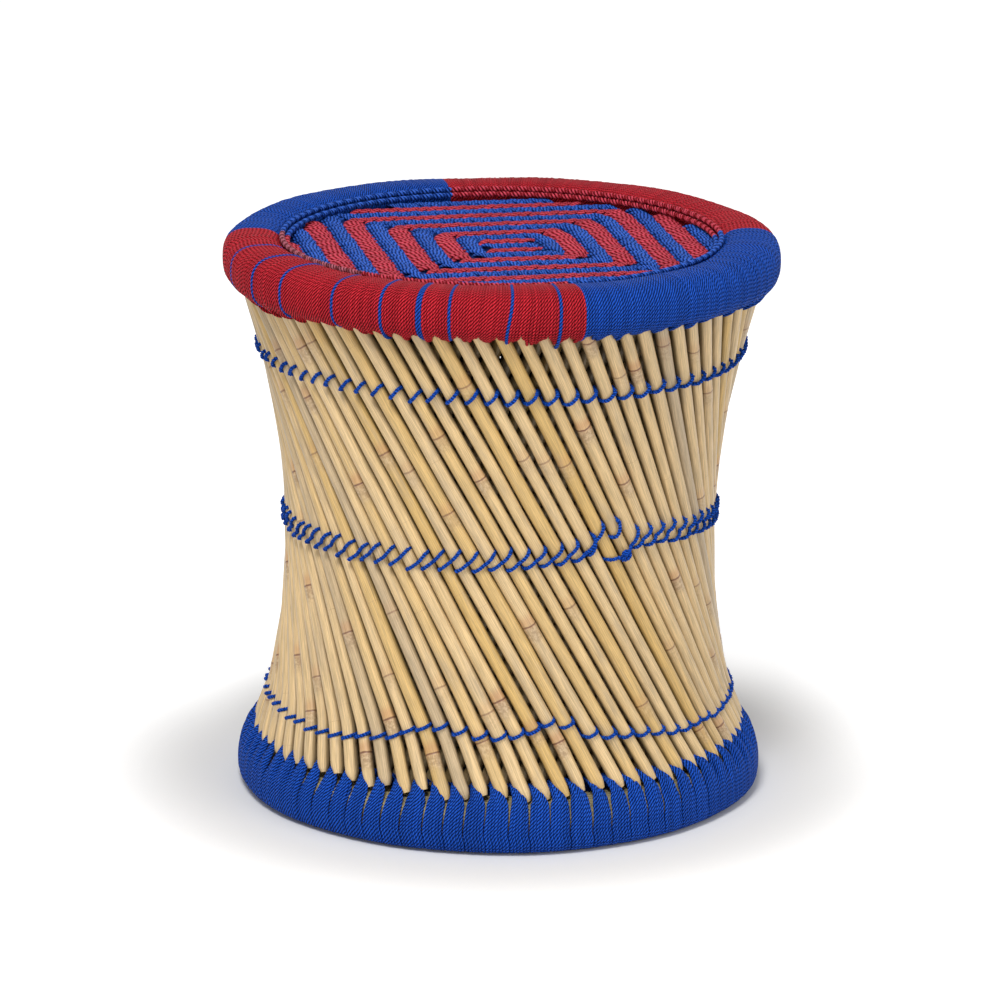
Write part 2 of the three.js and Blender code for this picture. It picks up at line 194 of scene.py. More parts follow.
class StoolCanes(bpy.types.PropertyGroup):
    """The two crossed layers of reed canes"""
    count: a_count("Canes", "Canes in one layer", 78, BUNDLES)
    first_angle: an_angle("First cane", "Angle of the first cane at the waist, from the front", 1.97)
    waist_height: a_length("Waist height", "Height at which the canes cross closest to the axis", 183.5 * MM)
    outer_waist: a_length(
        "Outer waist radius", "Radius of the outer canes' middles at the waist", 148.04 * MM)
    outer_slope: a_number("Outer slope", "Sideways run of an outer cane for each unit of height", 0.54975)
    inner_waist: a_length(
        "Inner waist radius", "Radius of the inner canes' middles at the waist", 136.48 * MM)
    inner_slope: a_number("Inner slope", "Sideways run of an inner cane for each unit of height", 0.5301)
    diameter: a_length("Cane diameter", "Mean thickness of a cane", 9.6 * MM)
    spread: a_length("Diameter spread", "How far a cane's thickness departs from the mean", 0.85 * MM)
    wander: a_length("Wander", "How far a cane bends from its straight line", 1.7 * MM)
    foot_lift: a_length("Foot lift", "How far above the CAD canes' ends the reeds begin", 4.5 * MM)
    tip_taper: a_length("Tip taper", "Length of the cut at a cane's lower end", 7 * MM)
    flare: a_length("Flare", "How far a cane's lower end leans out over the ring", 5.5 * MM)
    flare_depth: a_length("Flare depth", "Height over which it leans out", 45 * MM)
    pale: a_colour("Pale reed", "Colour of most canes", 0.70, 0.50, 0.255)
    golden: a_colour("Golden reed", "Colour of the yellower canes", 0.63, 0.41, 0.14)
    grey: a_colour("Greyed reed", "Colour of weathered canes", 0.45, 0.34, 0.21)


class StoolRings(bpy.types.PropertyGroup):
    """The wound grass rings at the top and the bottom"""
    top_turns: a_count("Top turns", "Turns of cord round the top ring", 600)
    top_cord: a_length("Top cord", "Diameter of the top winding's cord", 2.1 * MM)
    top_inner: a_length("Top ring inner radius", "Inner radius of the top ring", 152.9 * MM)
    top_squareness: a_number("Top squareness", "Power of the top roll's rounded outline", 2.7)
    bottom_turns: a_count("Bottom turns", "Turns of cord round the bottom ring", 486)
    bottom_cord: a_length("Bottom cord", "Diameter of the bottom winding's cord", 2.45 * MM)
    bottom_inner: a_length("Bottom ring inner radius", "Inner radius of the bottom ring", 146.73 * MM)
    bottom_squareness: a_number("Bottom squareness", "Power of the roll's outline at the floor", 3.5)
    fan_roundness: a_number("Fan roundness", "Power of the roll's outline above its widest place", 2.1)
    fan_high: a_length("Fan height", "Height at which the fans pass between the canes", 46 * MM)
    fan_tip: a_length("Fan tip", "Height above which the fans lean with the canes", 40 * MM)
    fan_dip: a_length("Fan dip", "How far a fan's edges lie behind its middle", 3.5 * MM)
    fan_lean: an_angle("Fan lean", "How far round the stool a fan leans as it goes down", -0.45)
    widest: a_length("Widest height", "Height at which the bottom ring is widest", 15 * MM)
    waviness: a_length("Waviness", "How far a ring's surface rises and falls round the stool", 0.45 * MM)
    jitter: a_length("Jitter", "How far a single turn stands out or sinks in", 0.4 * MM)
    gather_high: a_length(
        "Gather height", "Height below which the top turns gather between the canes", 371 * MM)
    gather_depth: a_length("Gather depth", "Height over which they gather", 9 * MM)
    gather_share: a_number("Gather", "How far towards the gap a top turn is drawn at the lower edge", 0.62)
    scallop_drop: a_length("Scallop drop", "How far the top ring's lower edge hangs at a gap", 3.0 * MM)
    scallop_lift: a_length("Scallop lift", "How far the top ring's lower edge rises over a cane", 1.2 * MM)
    scallop_inset: a_length("Scallop inset", "How far that edge lies in over a cane", 1.2 * MM)
    ragged: a_length("Ragged edge", "How unevenly single turns hang there", 3.8 * MM)
    ragged_gap: a_length("Ragged gaps", "How unevenly the turns of whole gaps hang there", 1.6 * MM)
    straggle: a_length("Straggle", "How much lower a loose turn hangs there", 3.4 * MM)
    core_inset: a_length("Core inset", "How far the top grass roll lies behind its winding", 4.4 * MM)
    grass: a_colour("Grass", "Colour of the bundled grass inside the rings", 0.30, 0.25, 0.13)


class StoolCords(bpy.types.PropertyGroup):
    """The lashings, the knot and the colours of all the cords"""
    lashing: a_length("Lashing cord", "Diameter of the lashing cord", 3.0 * MM)
    lay: a_length("Lay", "Length of one full twist of a lashing cord", 4.1 * MM)
    dive: a_length("Dive", "How deep a stitch's ends go between the canes", 7 * MM)
    dive_run: a_length("Dive run", "Length over which a stitch's end goes in", 3 * MM)
    knot: a_length("Knot", "Radius of the knot's outer turn", 3.9 * MM)
    upper_height: a_length("Upper lashing", "Middle height of the upper lashing", 321 * MM)
    blue: a_colour("Blue cord", "Colour of the blue cord", 0.002, 0.052, 0.36)
    red: a_colour("Red cord", "Colour of the red cord", 0.43, 0.004, 0.009)
    faded: a_colour("Faded cord", "Colour of the greyed strands at the seat's left edge", 0.30, 0.05, 0.06)


class StoolSeat(bpy.types.PropertyGroup):
    """The woven seat of concentric squares"""
    band: a_length("Band", "Pitch of the square bands", 14 * MM)
    turn: an_angle("Turn", "How far the squares are turned, anticlockwise from above", 11)
    rope_pitch: a_length("Rope pitch", "Spacing of the floats in the front and back bands", 7 * MM)
    row_pitch: a_length("Row pitch", "Spacing of the floats in the side bands", 8.6 * MM)
    cord: a_length("Seat cord", "Diameter of one cord of a float", 1.8 * MM)
    edge_cord: a_length("Edge cord", "Diameter of one row of the edge braid", 4.2 * MM)
    edge_lay: a_length("Edge lay", "Length of one full twist of the edge braid", 7 * MM)
    edge_pitch: a_length("Edge pitch", "Spacing of the edge braid's two rows", 3.6 * MM)
    edge_lift: a_length("Edge lift", "How far the edge braid stands above the middle of its cord", 0.8 * MM)
    red_row_lean: an_angle("Red row lean", "Direction of the red side floats", -2)
    blue_row_lean: an_angle("Blue row lean", "Direction of the blue side floats", -46)
    rope_lean: an_angle("Rope lean", "Direction of the front and back floats, to either side", 45)
    rope_float: a_length("Rope float", "Length of a front or back float", 18 * MM)
    row_float: a_length("Row float", "Length of a side float across its band", 15.5 * MM)
    shift: a_length("Shift", "How far the squares' middle lies to the right of the seat's", 6 * MM)
    bar: a_length("Centre bars", "Half the length of the two bars in the middle", 21 * MM)
    rise: a_length("Rise", "How far a float's middle stands above its ends", 3.4 * MM)
    crown: a_length("Crown", "How far a float's side cords lie below its middle", 0.4 * MM)
    uneven: a_length("Uneven", "How far a float stands out or sinks in", 0.6 * MM)
    tilt: a_length("Tilt", "How far a float's far end goes down", 0.9 * MM)
    ragged: a_length("Ragged ends", "How unevenly the side floats end", 2.4 * MM)


class StoolStage(bpy.types.PropertyGroup):
    """The floor, lamps and camera"""
    distance: a_length("Distance", "From the camera to the point it looks at", 3.8)
    elevation: an_angle("Elevation", "Camera angle above the horizon", 15.56)
    target: a_length("Target height", "Height that the camera looks at", 203.7 * MM)
    lens: a_number("Lens", "Focal length in millimetres", 192.2)
    roll: an_angle("Roll", "Lean of the camera", 0.4)
    ambient: a_number("Ambient", "Strength of the world's light", 0.36)
    key: a_number("Key", "Power of the main lamp in watts", 68)
    fill: a_number("Fill", "Power of the fill lamp in watts", 17)
    low: a_number("Low lamp", "Power of the low lamp that glints on the reeds, in watts", 8)
    floor_glow: a_number(
        "Floor glow", "What the floor adds for the camera, so that it reads as white", 0.66)
    # Where the floor's glow fades out towards the stool, leaving a painted shadow round and under it
    glow_start: a_length(
        "Glow start", "Distance from the axis at which the floor's glow begins", 205 * MM)
    glow_full: a_length("Glow full", "Distance from the axis at which the floor's glow is full", 360 * MM)


# Node trees

class Field:
    """A node's output; sums and products of fields add math nodes"""

    def __init__(self, wiring, socket):
        self.wiring = wiring
        self.socket = socket

    def __add__(self, other):
        return self.wiring.math("ADD", self, other)

    def __sub__(self, other):
        return self.wiring.math("SUBTRACT", self, other)

    def __mul__(self, other):
        return self.wiring.math("MULTIPLY", self, other)

    def __truediv__(self, other):
        return self.wiring.math("DIVIDE", self, other)

    def __abs__(self):
        return self.wiring.math("ABSOLUTE", self)


class Wiring:
    """Adds nodes to a tree and joins their sockets"""

    def __init__(self, tree):
        self.tree = tree

    def node(self, kind, inputs=None, **settings):
        node = self.tree.nodes.new(kind)
        for name, value in settings.items():
            setattr(node, name, value)
        self.feed(node.inputs, inputs or {})
        return node

    def feed(self, sockets, values):
        """Joins each socket to its field, or gives it its plain value"""
        for name, value in values.items():
            if isinstance(value, Field):
                self.tree.links.new(value.socket, sockets[name])
            else:
                sockets[name].default_value = value

    def fields(self, kind, inputs=None, **settings):
        """A new node's outputs by name"""
        node = self.node(kind, inputs, **settings)
        return {socket.name: Field(self, socket) for socket in node.outputs}

    def out(self, kind, inputs=None, output=0, **settings):
        """One output of a new node"""
        return Field(self, self.node(kind, inputs, **settings).outputs[output])

    def math(self, operation, *values, clamp=False):
        return self.out(
            "ShaderNodeMath", dict(enumerate(values)), operation=operation, use_clamp=clamp)

    def vector(self, x, y, z):
        return self.out("ShaderNodeCombineXYZ", {"X": x, "Y": y, "Z": z})

    def parts(self, vector):
        return self.fields("ShaderNodeSeparateXYZ", {0: vector}).values()

    def vector_math(self, operation, *values, output=0):
        return self.out(
            "ShaderNodeVectorMath", dict(enumerate(values)), output, operation=operation)

    def scaled(self, vector, factor):
        return self.out("ShaderNodeVectorMath", {0: vector, "Scale": factor}, operation="SCALE")

    def noise(self, vector, scale, detail, roughness=0.5):
        return self.out(
            "ShaderNodeTexNoise",
            {"Vector": vector, "Scale": scale, "Detail": detail, "Roughness": roughness})

    def ramp(self, value, low, high):
        """0 at low and 1 at high, smooth between; low may be the larger"""
        return self.out(
            "ShaderNodeMapRange", {"Value": value, "From Min": low, "From Max": high},
            interpolation_type="SMOOTHSTEP")

    def mix(self, factor, first, second):
        return self.out("ShaderNodeMix", {0: factor, 6: first, 7: second}, 2, data_type="RGBA")

    def between(self, factor, first, second):
        return self.out("ShaderNodeMix", {0: factor, 2: first, 3: second}, data_type="FLOAT")

    def bump(self, strength, relief, height):
        return self.out("ShaderNodeBump", {"Strength": strength, "Distance": relief, "Height": height})

    def attribute(self, name, output="Fac"):
        return self.out("ShaderNodeAttribute", output=output, attribute_name=name)


GEOMETRY = "NodeSocketGeometry"
FLOAT = "NodeSocketFloat"
INT = "NodeSocketInt"
VECTOR = "NodeSocketVector"
MATERIAL = "NodeSocketMaterial"


def new_group(name, kind, inputs, outputs):
    """A node group with its sockets made, what it is given by name, and its output's sockets"""
    tree = bpy.data.node_groups.new(name, kind)
    for side, sockets in (("INPUT", inputs), ("OUTPUT", outputs)):
        for socket, labels in sockets.items():
            for label in labels:
                tree.interface.new_socket(label, in_out=side, socket_type=socket)
    wiring = Wiring(tree)
    return tree, wiring, wiring.fields("NodeGroupInput"), wiring.node("NodeGroupOutput").inputs


def captured(wiring, geometry, value, kind="FLOAT"):
    """A value kept on the geometry: the geometry and the kept field"""
    node = wiring.node("GeometryNodeCaptureAttribute", {"Geometry": geometry}, domain="POINT")
    node.capture_items.new(kind, "Kept")
    wiring.feed(node.inputs, {1: value})
    return Field(wiring, node.outputs[0]), Field(wiring, node.outputs[1])


def stored(wiring, geometry, name, value, kind="FLOAT"):
    return wiring.out(
        "GeometryNodeStoreNamedAttribute", {"Geometry": geometry, "Name": name, "Value": value},
        data_type=kind, domain="POINT")


def copied(wiring, curve, amount):
    """Copies of a curve, and the number of each"""
    copies = wiring.fields(
        "GeometryNodeDuplicateElements", {"Geometry": curve, "Amount": amount}, domain="SPLINE")
    return copies["Geometry"], copies["Duplicate Index"]


def swept(wiring, curve, sides, radius, scale, length):
    """A tube along a curve that stores its frame: cosine and sine round it, and its length"""
    circle = wiring.out("GeometryNodeCurvePrimitiveCircle", {"Resolution": sides, "Radius": radius})
    angle = wiring.out("GeometryNodeSplineParameter", output="Factor") * TURN
    profile, angle = captured(wiring, circle, angle)
    path, length = captured(wiring, curve, length)
    tube = wiring.out(
        "GeometryNodeCurveToMesh",
        {"Curve": path, "Profile Curve": profile, "Scale": scale, "Fill Caps": True})
    facing = wiring.vector(wiring.math("COSINE", angle), wiring.math("SINE", angle), length)
    return stored(wiring, tube, "facing", facing, "FLOAT_VECTOR")


def finished(wiring, geometry, material):
    """The end of every tree: real meshes, smooth, with their material"""
    real = wiring.out("GeometryNodeRealizeInstances", {"Geometry": geometry})
    smooth = wiring.out("GeometryNodeSetShadeSmooth", {"Geometry": real})
    return wiring.out("GeometryNodeSetMaterial", {"Geometry": smooth, "Material": material})


def cord_tree():
    """Sweeps a cord of one or more twisted strands along each chain of a guide mesh"""
    tree, wiring, given, result = new_group(
        "Cord along a guide", "GeometryNodeTree",
        {GEOMETRY: ["Geometry"], FLOAT: ["Strand Diameter", "Strand Offset", "Lay"],
         INT: ["Strands", "Sides"], MATERIAL: ["Material"]},
        {GEOMETRY: ["Geometry"]})

    def mark(name):
        return wiring.out("GeometryNodeInputNamedAttribute", {"Name": name}, data_type="FLOAT")

    curve = wiring.out("GeometryNodeMeshToCurve", {"Mesh": given["Geometry"]})
    length = wiring.out("GeometryNodeSplineParameter", output="Length") + mark("start")
    curve, length = captured(wiring, curve, length)
    position = wiring.out("GeometryNodeInputPosition")
    curve, centre = captured(wiring, curve, position, "VECTOR")
    copies, number = copied(wiring, curve, given["Strands"])
    angle = (length / given["Lay"] + number / given["Strands"]) * TURN
    normal = wiring.out("GeometryNodeInputNormal")
    across = wiring.vector_math("CROSS_PRODUCT", wiring.out("GeometryNodeInputTangent"), normal)
    aside = wiring.vector_math(
        "ADD", wiring.scaled(normal, wiring.math("COSINE", angle)),
        wiring.scaled(across, wiring.math("SINE", angle)))
    moved = wiring.out(
        "GeometryNodeSetPosition",
        {"Geometry": copies, "Offset": wiring.scaled(aside, given["Strand Offset"])})
    radius = given["Strand Diameter"] * 0.5
    tube = swept(wiring, moved, given["Sides"], radius, mark("swell"), length)
    # How far from the cord's middle each point lies, which the cord's finish uses to paint shade where the
    # strands press together
    apart = wiring.vector_math("DISTANCE", position, centre, output="Value")
    tube = stored(wiring, tube, "height", apart / (given["Strand Offset"] + radius))
    wiring.feed(result, {0: finished(wiring, tube, given["Material"])})
    return tree


def cane_tree():
    """A run of neighbouring canes of one layer, each a straight line that wanders a little"""
    tree, wiring, given, result = new_group(
        "Canes of a layer", "GeometryNodeTree",
        {GEOMETRY: ["Geometry"], INT: ["Count", "First Number", "Rings", "Sides", "Seed"],
         FLOAT: ["First Angle", "Pitch Angle", "Waist Radius", "Waist Height", "Slope", "Low", "High",
                 "Diameter", "Diameter Spread", "Wander", "Tip Taper", "Flare", "Flare Depth"],
         MATERIAL: ["Material"]},
        {GEOMETRY: ["Geometry"]})
    line = wiring.out("GeometryNodeCurvePrimitiveLine", {"Start": (0, 0, 0), "End": (0, 0, 1)})
    line = wiring.out("GeometryNodeResampleCurve", {"Curve": line, "Count": given["Rings"]})
    copies, number = copied(wiring, line, given["Count"])
    number = number + given["First Number"]
    share = wiring.out("GeometryNodeSplineParameter", output="Factor")

    def chance(low, high, salt):
        return wiring.out(
            "FunctionNodeRandomValue", {2: low, 3: high, "ID": number, "Seed": given["Seed"] + salt}, 1)

    # The line of each cane, with an uneven lower end, a wandering side and depth, and a flare at its foot
    low = given["Low"] + chance(0.0, 6 * MM, 1)
    height = low + share * (given["High"] - low)
    angle = given["First Angle"] + number * given["Pitch Angle"]
    sine = wiring.math("SINE", angle)
    cosine = wiring.math("COSINE", angle)
    seedling = number * 7.31 + given["Seed"]
    side_noise = wiring.noise(wiring.vector(height, seedling, 0.0), 9.0, 1.0)
    depth_noise = wiring.noise(wiring.vector(height, seedling, 5.0), 7.0, 1.0)
    flare = wiring.ramp(height, given["Low"] + given["Flare Depth"], given["Low"])
    depth = (depth_noise - 0.5) * given["Wander"] + flare * given["Flare"]
    side = (side_noise - 0.5) * (given["Wander"] * 2.0)
    run = (height - given["Waist Height"]) * given["Slope"] + side
    reach = given["Waist Radius"] + depth
    place = wiring.vector(
        reach * sine - run * cosine, (reach * cosine + run * sine) * -1.0, height)
    moved = wiring.out("GeometryNodeSetPosition", {"Geometry": copies, "Position": place})

    # Nodes stand a random distance apart; the gap to the nearest one is kept, below it negative
    spacing = chance(170 * MM, 290 * MM, 2)
    shifted = height + chance(0.0, 290 * MM, 3)
    gap = wiring.math("FLOORED_MODULO", shifted, spacing) - spacing * 0.5
    node_number = wiring.math("FLOOR", shifted / spacing)
    mark = wiring.out("FunctionNodeRandomValue", {
        2: 0.1, 3: 1.0, "Seed": given["Seed"], "ID": number * 16.0 + node_number}, 1)

    # Thickness: a swelling at each node and its sheath, and a cut tip of its own length and bluntness
    ring = wiring.ramp(abs(gap), 3.5 * MM, 0.0)
    sheath = wiring.ramp(abs(gap + 5 * MM), 8 * MM, 2 * MM)
    swell = ring * 0.05 + sheath * 0.035 + 1.0
    width = given["Diameter"] + given["Diameter Spread"] * chance(-1.0, 1.0, 4)
    point = (height - low) / (given["Tip Taper"] * chance(0.6, 1.3, 5))
    point = wiring.math("POWER", wiring.math("MAXIMUM", point, 0.0, clamp=True), 0.7, clamp=True)
    cut = wiring.between(point, chance(0.42, 0.78, 6), 1.0)
    scale = swell * width * (cut * 0.5)

    curve, gap = captured(wiring, moved, gap)
    curve, mark = captured(wiring, curve, mark)
    curve, tint = captured(wiring, curve, chance(0.0, 1.0, 7))
    curve, scale = captured(wiring, curve, scale)
    curve, height = captured(wiring, curve, height)
    position = wiring.out("GeometryNodeInputPosition")
    curve, centre = captured(wiring, curve, position, "VECTOR")
    tube = swept(wiring, curve, given["Sides"], 1.0, scale, height)
    # How far a point faces out from the stool, which the reed's finish uses to paint shade on a cane's sides
    outward = wiring.vector_math("NORMALIZE", wiring.vector_math("MULTIPLY", centre, (1, 1, 0)))
    from_centre = wiring.vector_math("SUBTRACT", position, centre)
    front = wiring.vector_math("DOT_PRODUCT", from_centre, outward, output="Value") / scale
    for name, value in (("front", front), ("node_gap", gap), ("node_mark", mark), ("tint", tint)):
        tube = stored(wiring, tube, name, value)
    wiring.feed(result, {0: finished(wiring, tube, given["Material"])})
    return tree


def noise_hash(values, salt):
    """Repeatable shares from 0 to 1, one for each value, by the usual sine hash"""
    return np.modf(np.abs(np.sin(np.asarray(values) * 12.9898 + salt * 78.233) * 43758.5453))[0]


def polar(degrees, radius, height):
    """Points at angles round the stool, counted in degrees from the front towards +X"""
    angle = np.radians(degrees)
    parts = np.broadcast_arrays(radius * np.sin(angle), -radius * np.cos(angle), height)
    return np.stack(parts, axis=-1)


def guide_mesh(name, runs, closed, marks):
    """A mesh of bare edges, one chain for each run of points

    marks holds a value or a row of values for each run: swell, its thickness; tint, its shade; and start,
    the length at which its twist begins
    """
    edges = []
    start = 0
    for run in runs:
        index = np.arange(start, start + len(run))
        pairs = np.stack([index, np.roll(index, -1)], axis=1)
        edges.append(pairs if closed else pairs[:-1])
        start += len(run)
    mesh = bpy.data.meshes.new(name)
    mesh.from_pydata(np.concatenate(runs).tolist(), np.concatenate(edges).tolist(), [])
    for label, usual in (("swell", 1.0), ("tint", 0.5), ("start", 0.0)):
        given = marks.get(label, np.full(len(runs), usual))
        values = np.concatenate([np.broadcast_to(value, len(run)) for value, run in zip(given, runs)])
        mesh.attributes.new(label, "FLOAT", "POINT").data.foreach_set("value", values.astype(np.float32))
    return mesh


def linked(name, mesh):
    piece = bpy.data.objects.new(name, mesh)
    bpy.context.scene.collection.objects.link(piece)
    return piece


def grown(tree, name, guide, inputs):
    """Runs a tree on a guide mesh and keeps the result as a plain mesh object at the origin"""
    piece = linked(name, guide)
    modifier = piece.modifiers.new("Shape", "NODES")
    modifier.node_group = tree
    for item in tree.interface.items_tree:
        if item.in_out == "INPUT" and item.name in inputs:
            modifier[item.identifier] = inputs[item.name]
    depsgraph = bpy.context.evaluated_depsgraph_get()
    mesh = bpy.data.meshes.new_from_object(
        piece.evaluated_get(depsgraph), preserve_all_data_layers=True, depsgraph=depsgraph)
    piece.modifiers.clear()
    piece.data = mesh
    mesh.name = name
    bpy.data.meshes.remove(guide)
    return piece


def placed(piece, slot, *nodes):
    """Every finished piece rides on the stool and stands for its CAD nodes, which it hides; slot is not used
    """
    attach(piece, "root")
    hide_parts(*nodes)
    return piece


def kept(collection, name, make, *given):
    """The node group or material of this name, made at its first use"""
    return collection.get(name) or make(*given)


def sweep(name, runs, closed, strand, material, offset=0.0, strands=1, lay=1.0, sides=6, **marks):
    """A cord along each run of points"""
    tree = kept(bpy.data.node_groups, "Cord along a guide", cord_tree)
    return grown(tree, name, guide_mesh(f"{name}_guide", runs, closed, marks), {
        "Strand Diameter": strand, "Strand Offset": offset, "Strands": strands, "Lay": lay,
        "Sides": sides, "Material": material})


def twisted(name, runs, closed, diameter, lay, material):
    """A laid cord of two real strands"""
    strand = diameter * 0.54
    return sweep(
        name, runs, closed, strand, material, offset=(diameter - strand) / 2, strands=2, lay=lay)


# Finishes

def cord_twist_group():
    """Ridges of a laid cord from its frame, with fine fibres and a fuzz of wear"""
    tree, wiring, given, result = new_group(
        "Cord twist", "ShaderNodeTree",
        {VECTOR: ["Facing", "Place"], FLOAT: ["Lay", "Strands"]}, {FLOAT: ["Ridge", "Fuzz", "Height"]})
    x, y, along = wiring.parts(given["Facing"])
    round_it = wiring.math("ARCTAN2", y, x) * (given["Strands"] * 0.5)
    ridge = abs(wiring.math("COSINE", round_it - along / given["Lay"] * math.pi))
    fibres = wiring.noise(given["Place"], 900.0, 3.0, 0.6)
    fuzz = wiring.noise(given["Place"], 260.0, 4.0, 0.65)
    wiring.feed(result, {
        "Ridge": ridge, "Fuzz": (fibres + fuzz) * 0.5,
        "Height": wiring.math("POWER", ridge, 0.7) + fibres * 0.2})
    return tree


def reed_grain_group():
    """Long fine streaks of a reed, from its frame"""
    tree, wiring, given, result = new_group(
        "Reed grain", "ShaderNodeTree",
        {VECTOR: ["Facing"], FLOAT: ["Tint"]}, {FLOAT: ["Streaks", "Blotches", "Splits", "Height"]})
    x, y, along = wiring.parts(given["Facing"])
    own = given["Tint"] * 57.0
    streaks = wiring.noise(wiring.vector(x, y, along * 6.0 + own), 9.0, 4.0, 0.62)
    blotches = wiring.noise(wiring.vector(x * 0.5, y * 0.5, along * 22.0 + own), 1.1, 3.0, 0.55)
    lines = wiring.noise(wiring.vector(x * 2.2, y * 2.2, along * 3.0 + own * 1.7), 2.3, 2.0)
    splits = wiring.ramp(lines, 0.70, 0.76)
    wiring.feed(result, {
        "Streaks": streaks, "Blotches": blotches, "Splits": splits, "Height": streaks - splits * 0.8})
    return tree


def new_material(name):
    """A material with its wiring and the sockets of its Principled BSDF"""
    material = bpy.data.materials.new(name)
    material.use_nodes = True
    return material, Wiring(material.node_tree), material.node_tree.nodes["Principled BSDF"].inputs


def toned(colour, factor, lifts=(0, 0, 0)):
    """A colour with its channels scaled and lifted"""
    return [min(1, channel * factor + lift) for channel, lift in zip(colour, lifts)] + [1]


def cord_material(name, colour, plies, lay, relief, groove_shade_share, lift):
    """Dyed cord with loose pale fibres: painted shade in the lay's grooves and a painted sheen on its ridges
    """
    material, wiring, shader = new_material(name)
    twist = wiring.fields(
        "ShaderNodeGroup", {
            "Facing": wiring.attribute("facing", "Vector"),
            "Place": wiring.out("ShaderNodeTexCoord", output="Object"), "Lay": lay, "Strands": plies},
        node_tree=kept(bpy.data.node_groups, "Cord twist", cord_twist_group))
    # Painted shade: the grooves keep only a share of the cord's colour
    painted_groove_shade = toned(colour, groove_shade_share)
    # Painted highlight: the ridges are paler and lifted by a painted sheen
    ridge = toned(colour, 1.3, [lift * share for share in SHEEN_LIFT_SHARES])
    # Loose pale fibres, lifted as well by the painted sheen
    fibre = toned(colour, 1.1, [0.04 + lift] * 3)
    shade = wiring.mix(wiring.ramp(twist["Ridge"], 0.34, 1.0), painted_groove_shade, ridge)
    shade = wiring.mix(wiring.ramp(twist["Fuzz"], 0.60, 0.80), shade, fibre)
    # Painted shade on the strands' sides near the cord's middle, where they press together
    shade = wiring.mix(wiring.ramp(wiring.attribute("height"), 0.55, 0.92), painted_groove_shade, shade)
    wiring.feed(shader, {
        "Base Color": wiring.scaled(shade, wiring.between(wiring.attribute("tint"), 0.87, 1.17)),
        "Roughness": wiring.between(twist["Fuzz"], 0.42, 0.70),
        "Normal": wiring.bump(1.0, relief, twist["Height"]),
        "Specular IOR Level": 0.06})
    return material


def reed_material(name, pale, golden, grey, painted_shade_factor):
    """Peeled reed: pale straw with streaks, a red-brown ring and mottled sheath at each node, with painted
    shade on its sides and, by a factor, over the whole cane
    """
    material, wiring, shader = new_material(name)
    tint = wiring.attribute("tint")
    gap = wiring.attribute("node_gap")
    mark = wiring.attribute("node_mark")
    place = wiring.out("ShaderNodeTexCoord", output="Object")
    grain = wiring.fields(
        "ShaderNodeGroup", {"Facing": wiring.attribute("facing", "Vector"), "Tint": tint},
        node_tree=kept(bpy.data.node_groups, "Reed grain", reed_grain_group))
    colour = wiring.mix(wiring.ramp(tint, 0.58, 0.92), pale, golden)
    colour = wiring.mix(wiring.ramp(tint, 0.22, 0.0), colour, grey)
    colour = wiring.mix(wiring.ramp(grain["Blotches"], 0.50, 0.75) * 0.55, colour, grey)
    colour = wiring.scaled(colour, wiring.between(wiring.ramp(grain["Streaks"], 0.3, 0.7), 0.66, 1.14))
    colour = wiring.mix(grain["Splits"] * 0.7, colour, SPLIT_BROWN)

    # The sheath's worn edge lies below the node, the blush about it, and the broken ring on it
    speckle = wiring.noise(place, 420.0, 4.0, 0.7)
    wobble = (wiring.noise(place, 160.0, 3.0, 0.6) - 0.5) * (9 * MM)
    sheath = wiring.ramp(gap + wobble, -14 * MM, -6 * MM) * wiring.ramp(gap, 1.0 * MM, -1.2 * MM)
    sheath = sheath * wiring.between(mark, 0.15, 0.7)
    sheath_colour = wiring.mix(wiring.ramp(speckle, 0.42, 0.62), SHEATH_DARK, SHEATH_PALE)
    colour = wiring.mix(sheath, colour, sheath_colour)
    blush = wiring.ramp(abs(gap - 3 * MM), 7 * MM, 0.0)
    colour = wiring.mix(blush * wiring.between(mark, 0.1, 0.5), colour, BLUSH)
    ring = wiring.ramp(abs(gap + wobble * 0.15), 0.9 * MM, 0.2 * MM)
    colour = wiring.mix(ring * wiring.between(mark, 0.45, 0.9), colour, RING_BROWN)

    # Painted shade: each cane is darker on its sides, where it meets its neighbours
    side_shade = wiring.between(wiring.ramp(wiring.attribute("front"), -0.1, 0.62), 0.42, 1.0)
    height = grain["Height"] - ring * 1.2 + sheath * speckle * 0.8
    wiring.feed(shader, {
        "Base Color": wiring.scaled(colour, side_shade * painted_shade_factor),
        "Roughness": wiring.between(grain["Streaks"], 0.26, 0.50),
        "Normal": wiring.bump(0.5, 0.22 * MM, height),
        "Specular IOR Level": 0.5})
    return material


def grass_material(colour):
    """Bundled grass stems that run round the ring"""
    material, wiring, shader = new_material("bundled_grass")
    x, y, along = wiring.parts(wiring.attribute("facing", "Vector"))
    fine = wiring.noise(wiring.vector(x * 14.0, y * 14.0, along), 6.0, 4.0, 0.7)
    wiring.feed(shader, {
        "Base Color": wiring.mix(wiring.ramp(fine, 0.35, 0.65), toned(colour, 0.35), toned(colour, 1.7)),
        "Roughness": wiring.between(fine, 0.6, 0.9),
        "Normal": wiring.bump(0.7, 0.6 * MM, fine)})
    return material


def cord_finish(settings, colour, kind):
    """The finish of a cord: kind is wound for a ring's turns, laid for real strands or woven for the seat"""
    tone = {"blue": settings.blue, "red": settings.red, "faded": settings.faded}[colour]
    name = f"{colour}_cord_{kind}"
    return kept(bpy.data.materials, name, cord_material, name, tuple(tone), *CORD_KINDS[kind])


# Canes

def cane_angle(canes, number, height):
    """Degrees from the front of outer cane number's middle at a height"""
    run = canes.outer_slope * (height - canes.waist_height)
    first = math.degrees(canes.first_angle) + number * 360 / canes.count
    return first - np.degrees(np.arctan2(run, canes.outer_waist))


def cane_radius(canes, height):
    return np.hypot(canes.outer_waist, canes.outer_slope * (height - canes.waist_height))


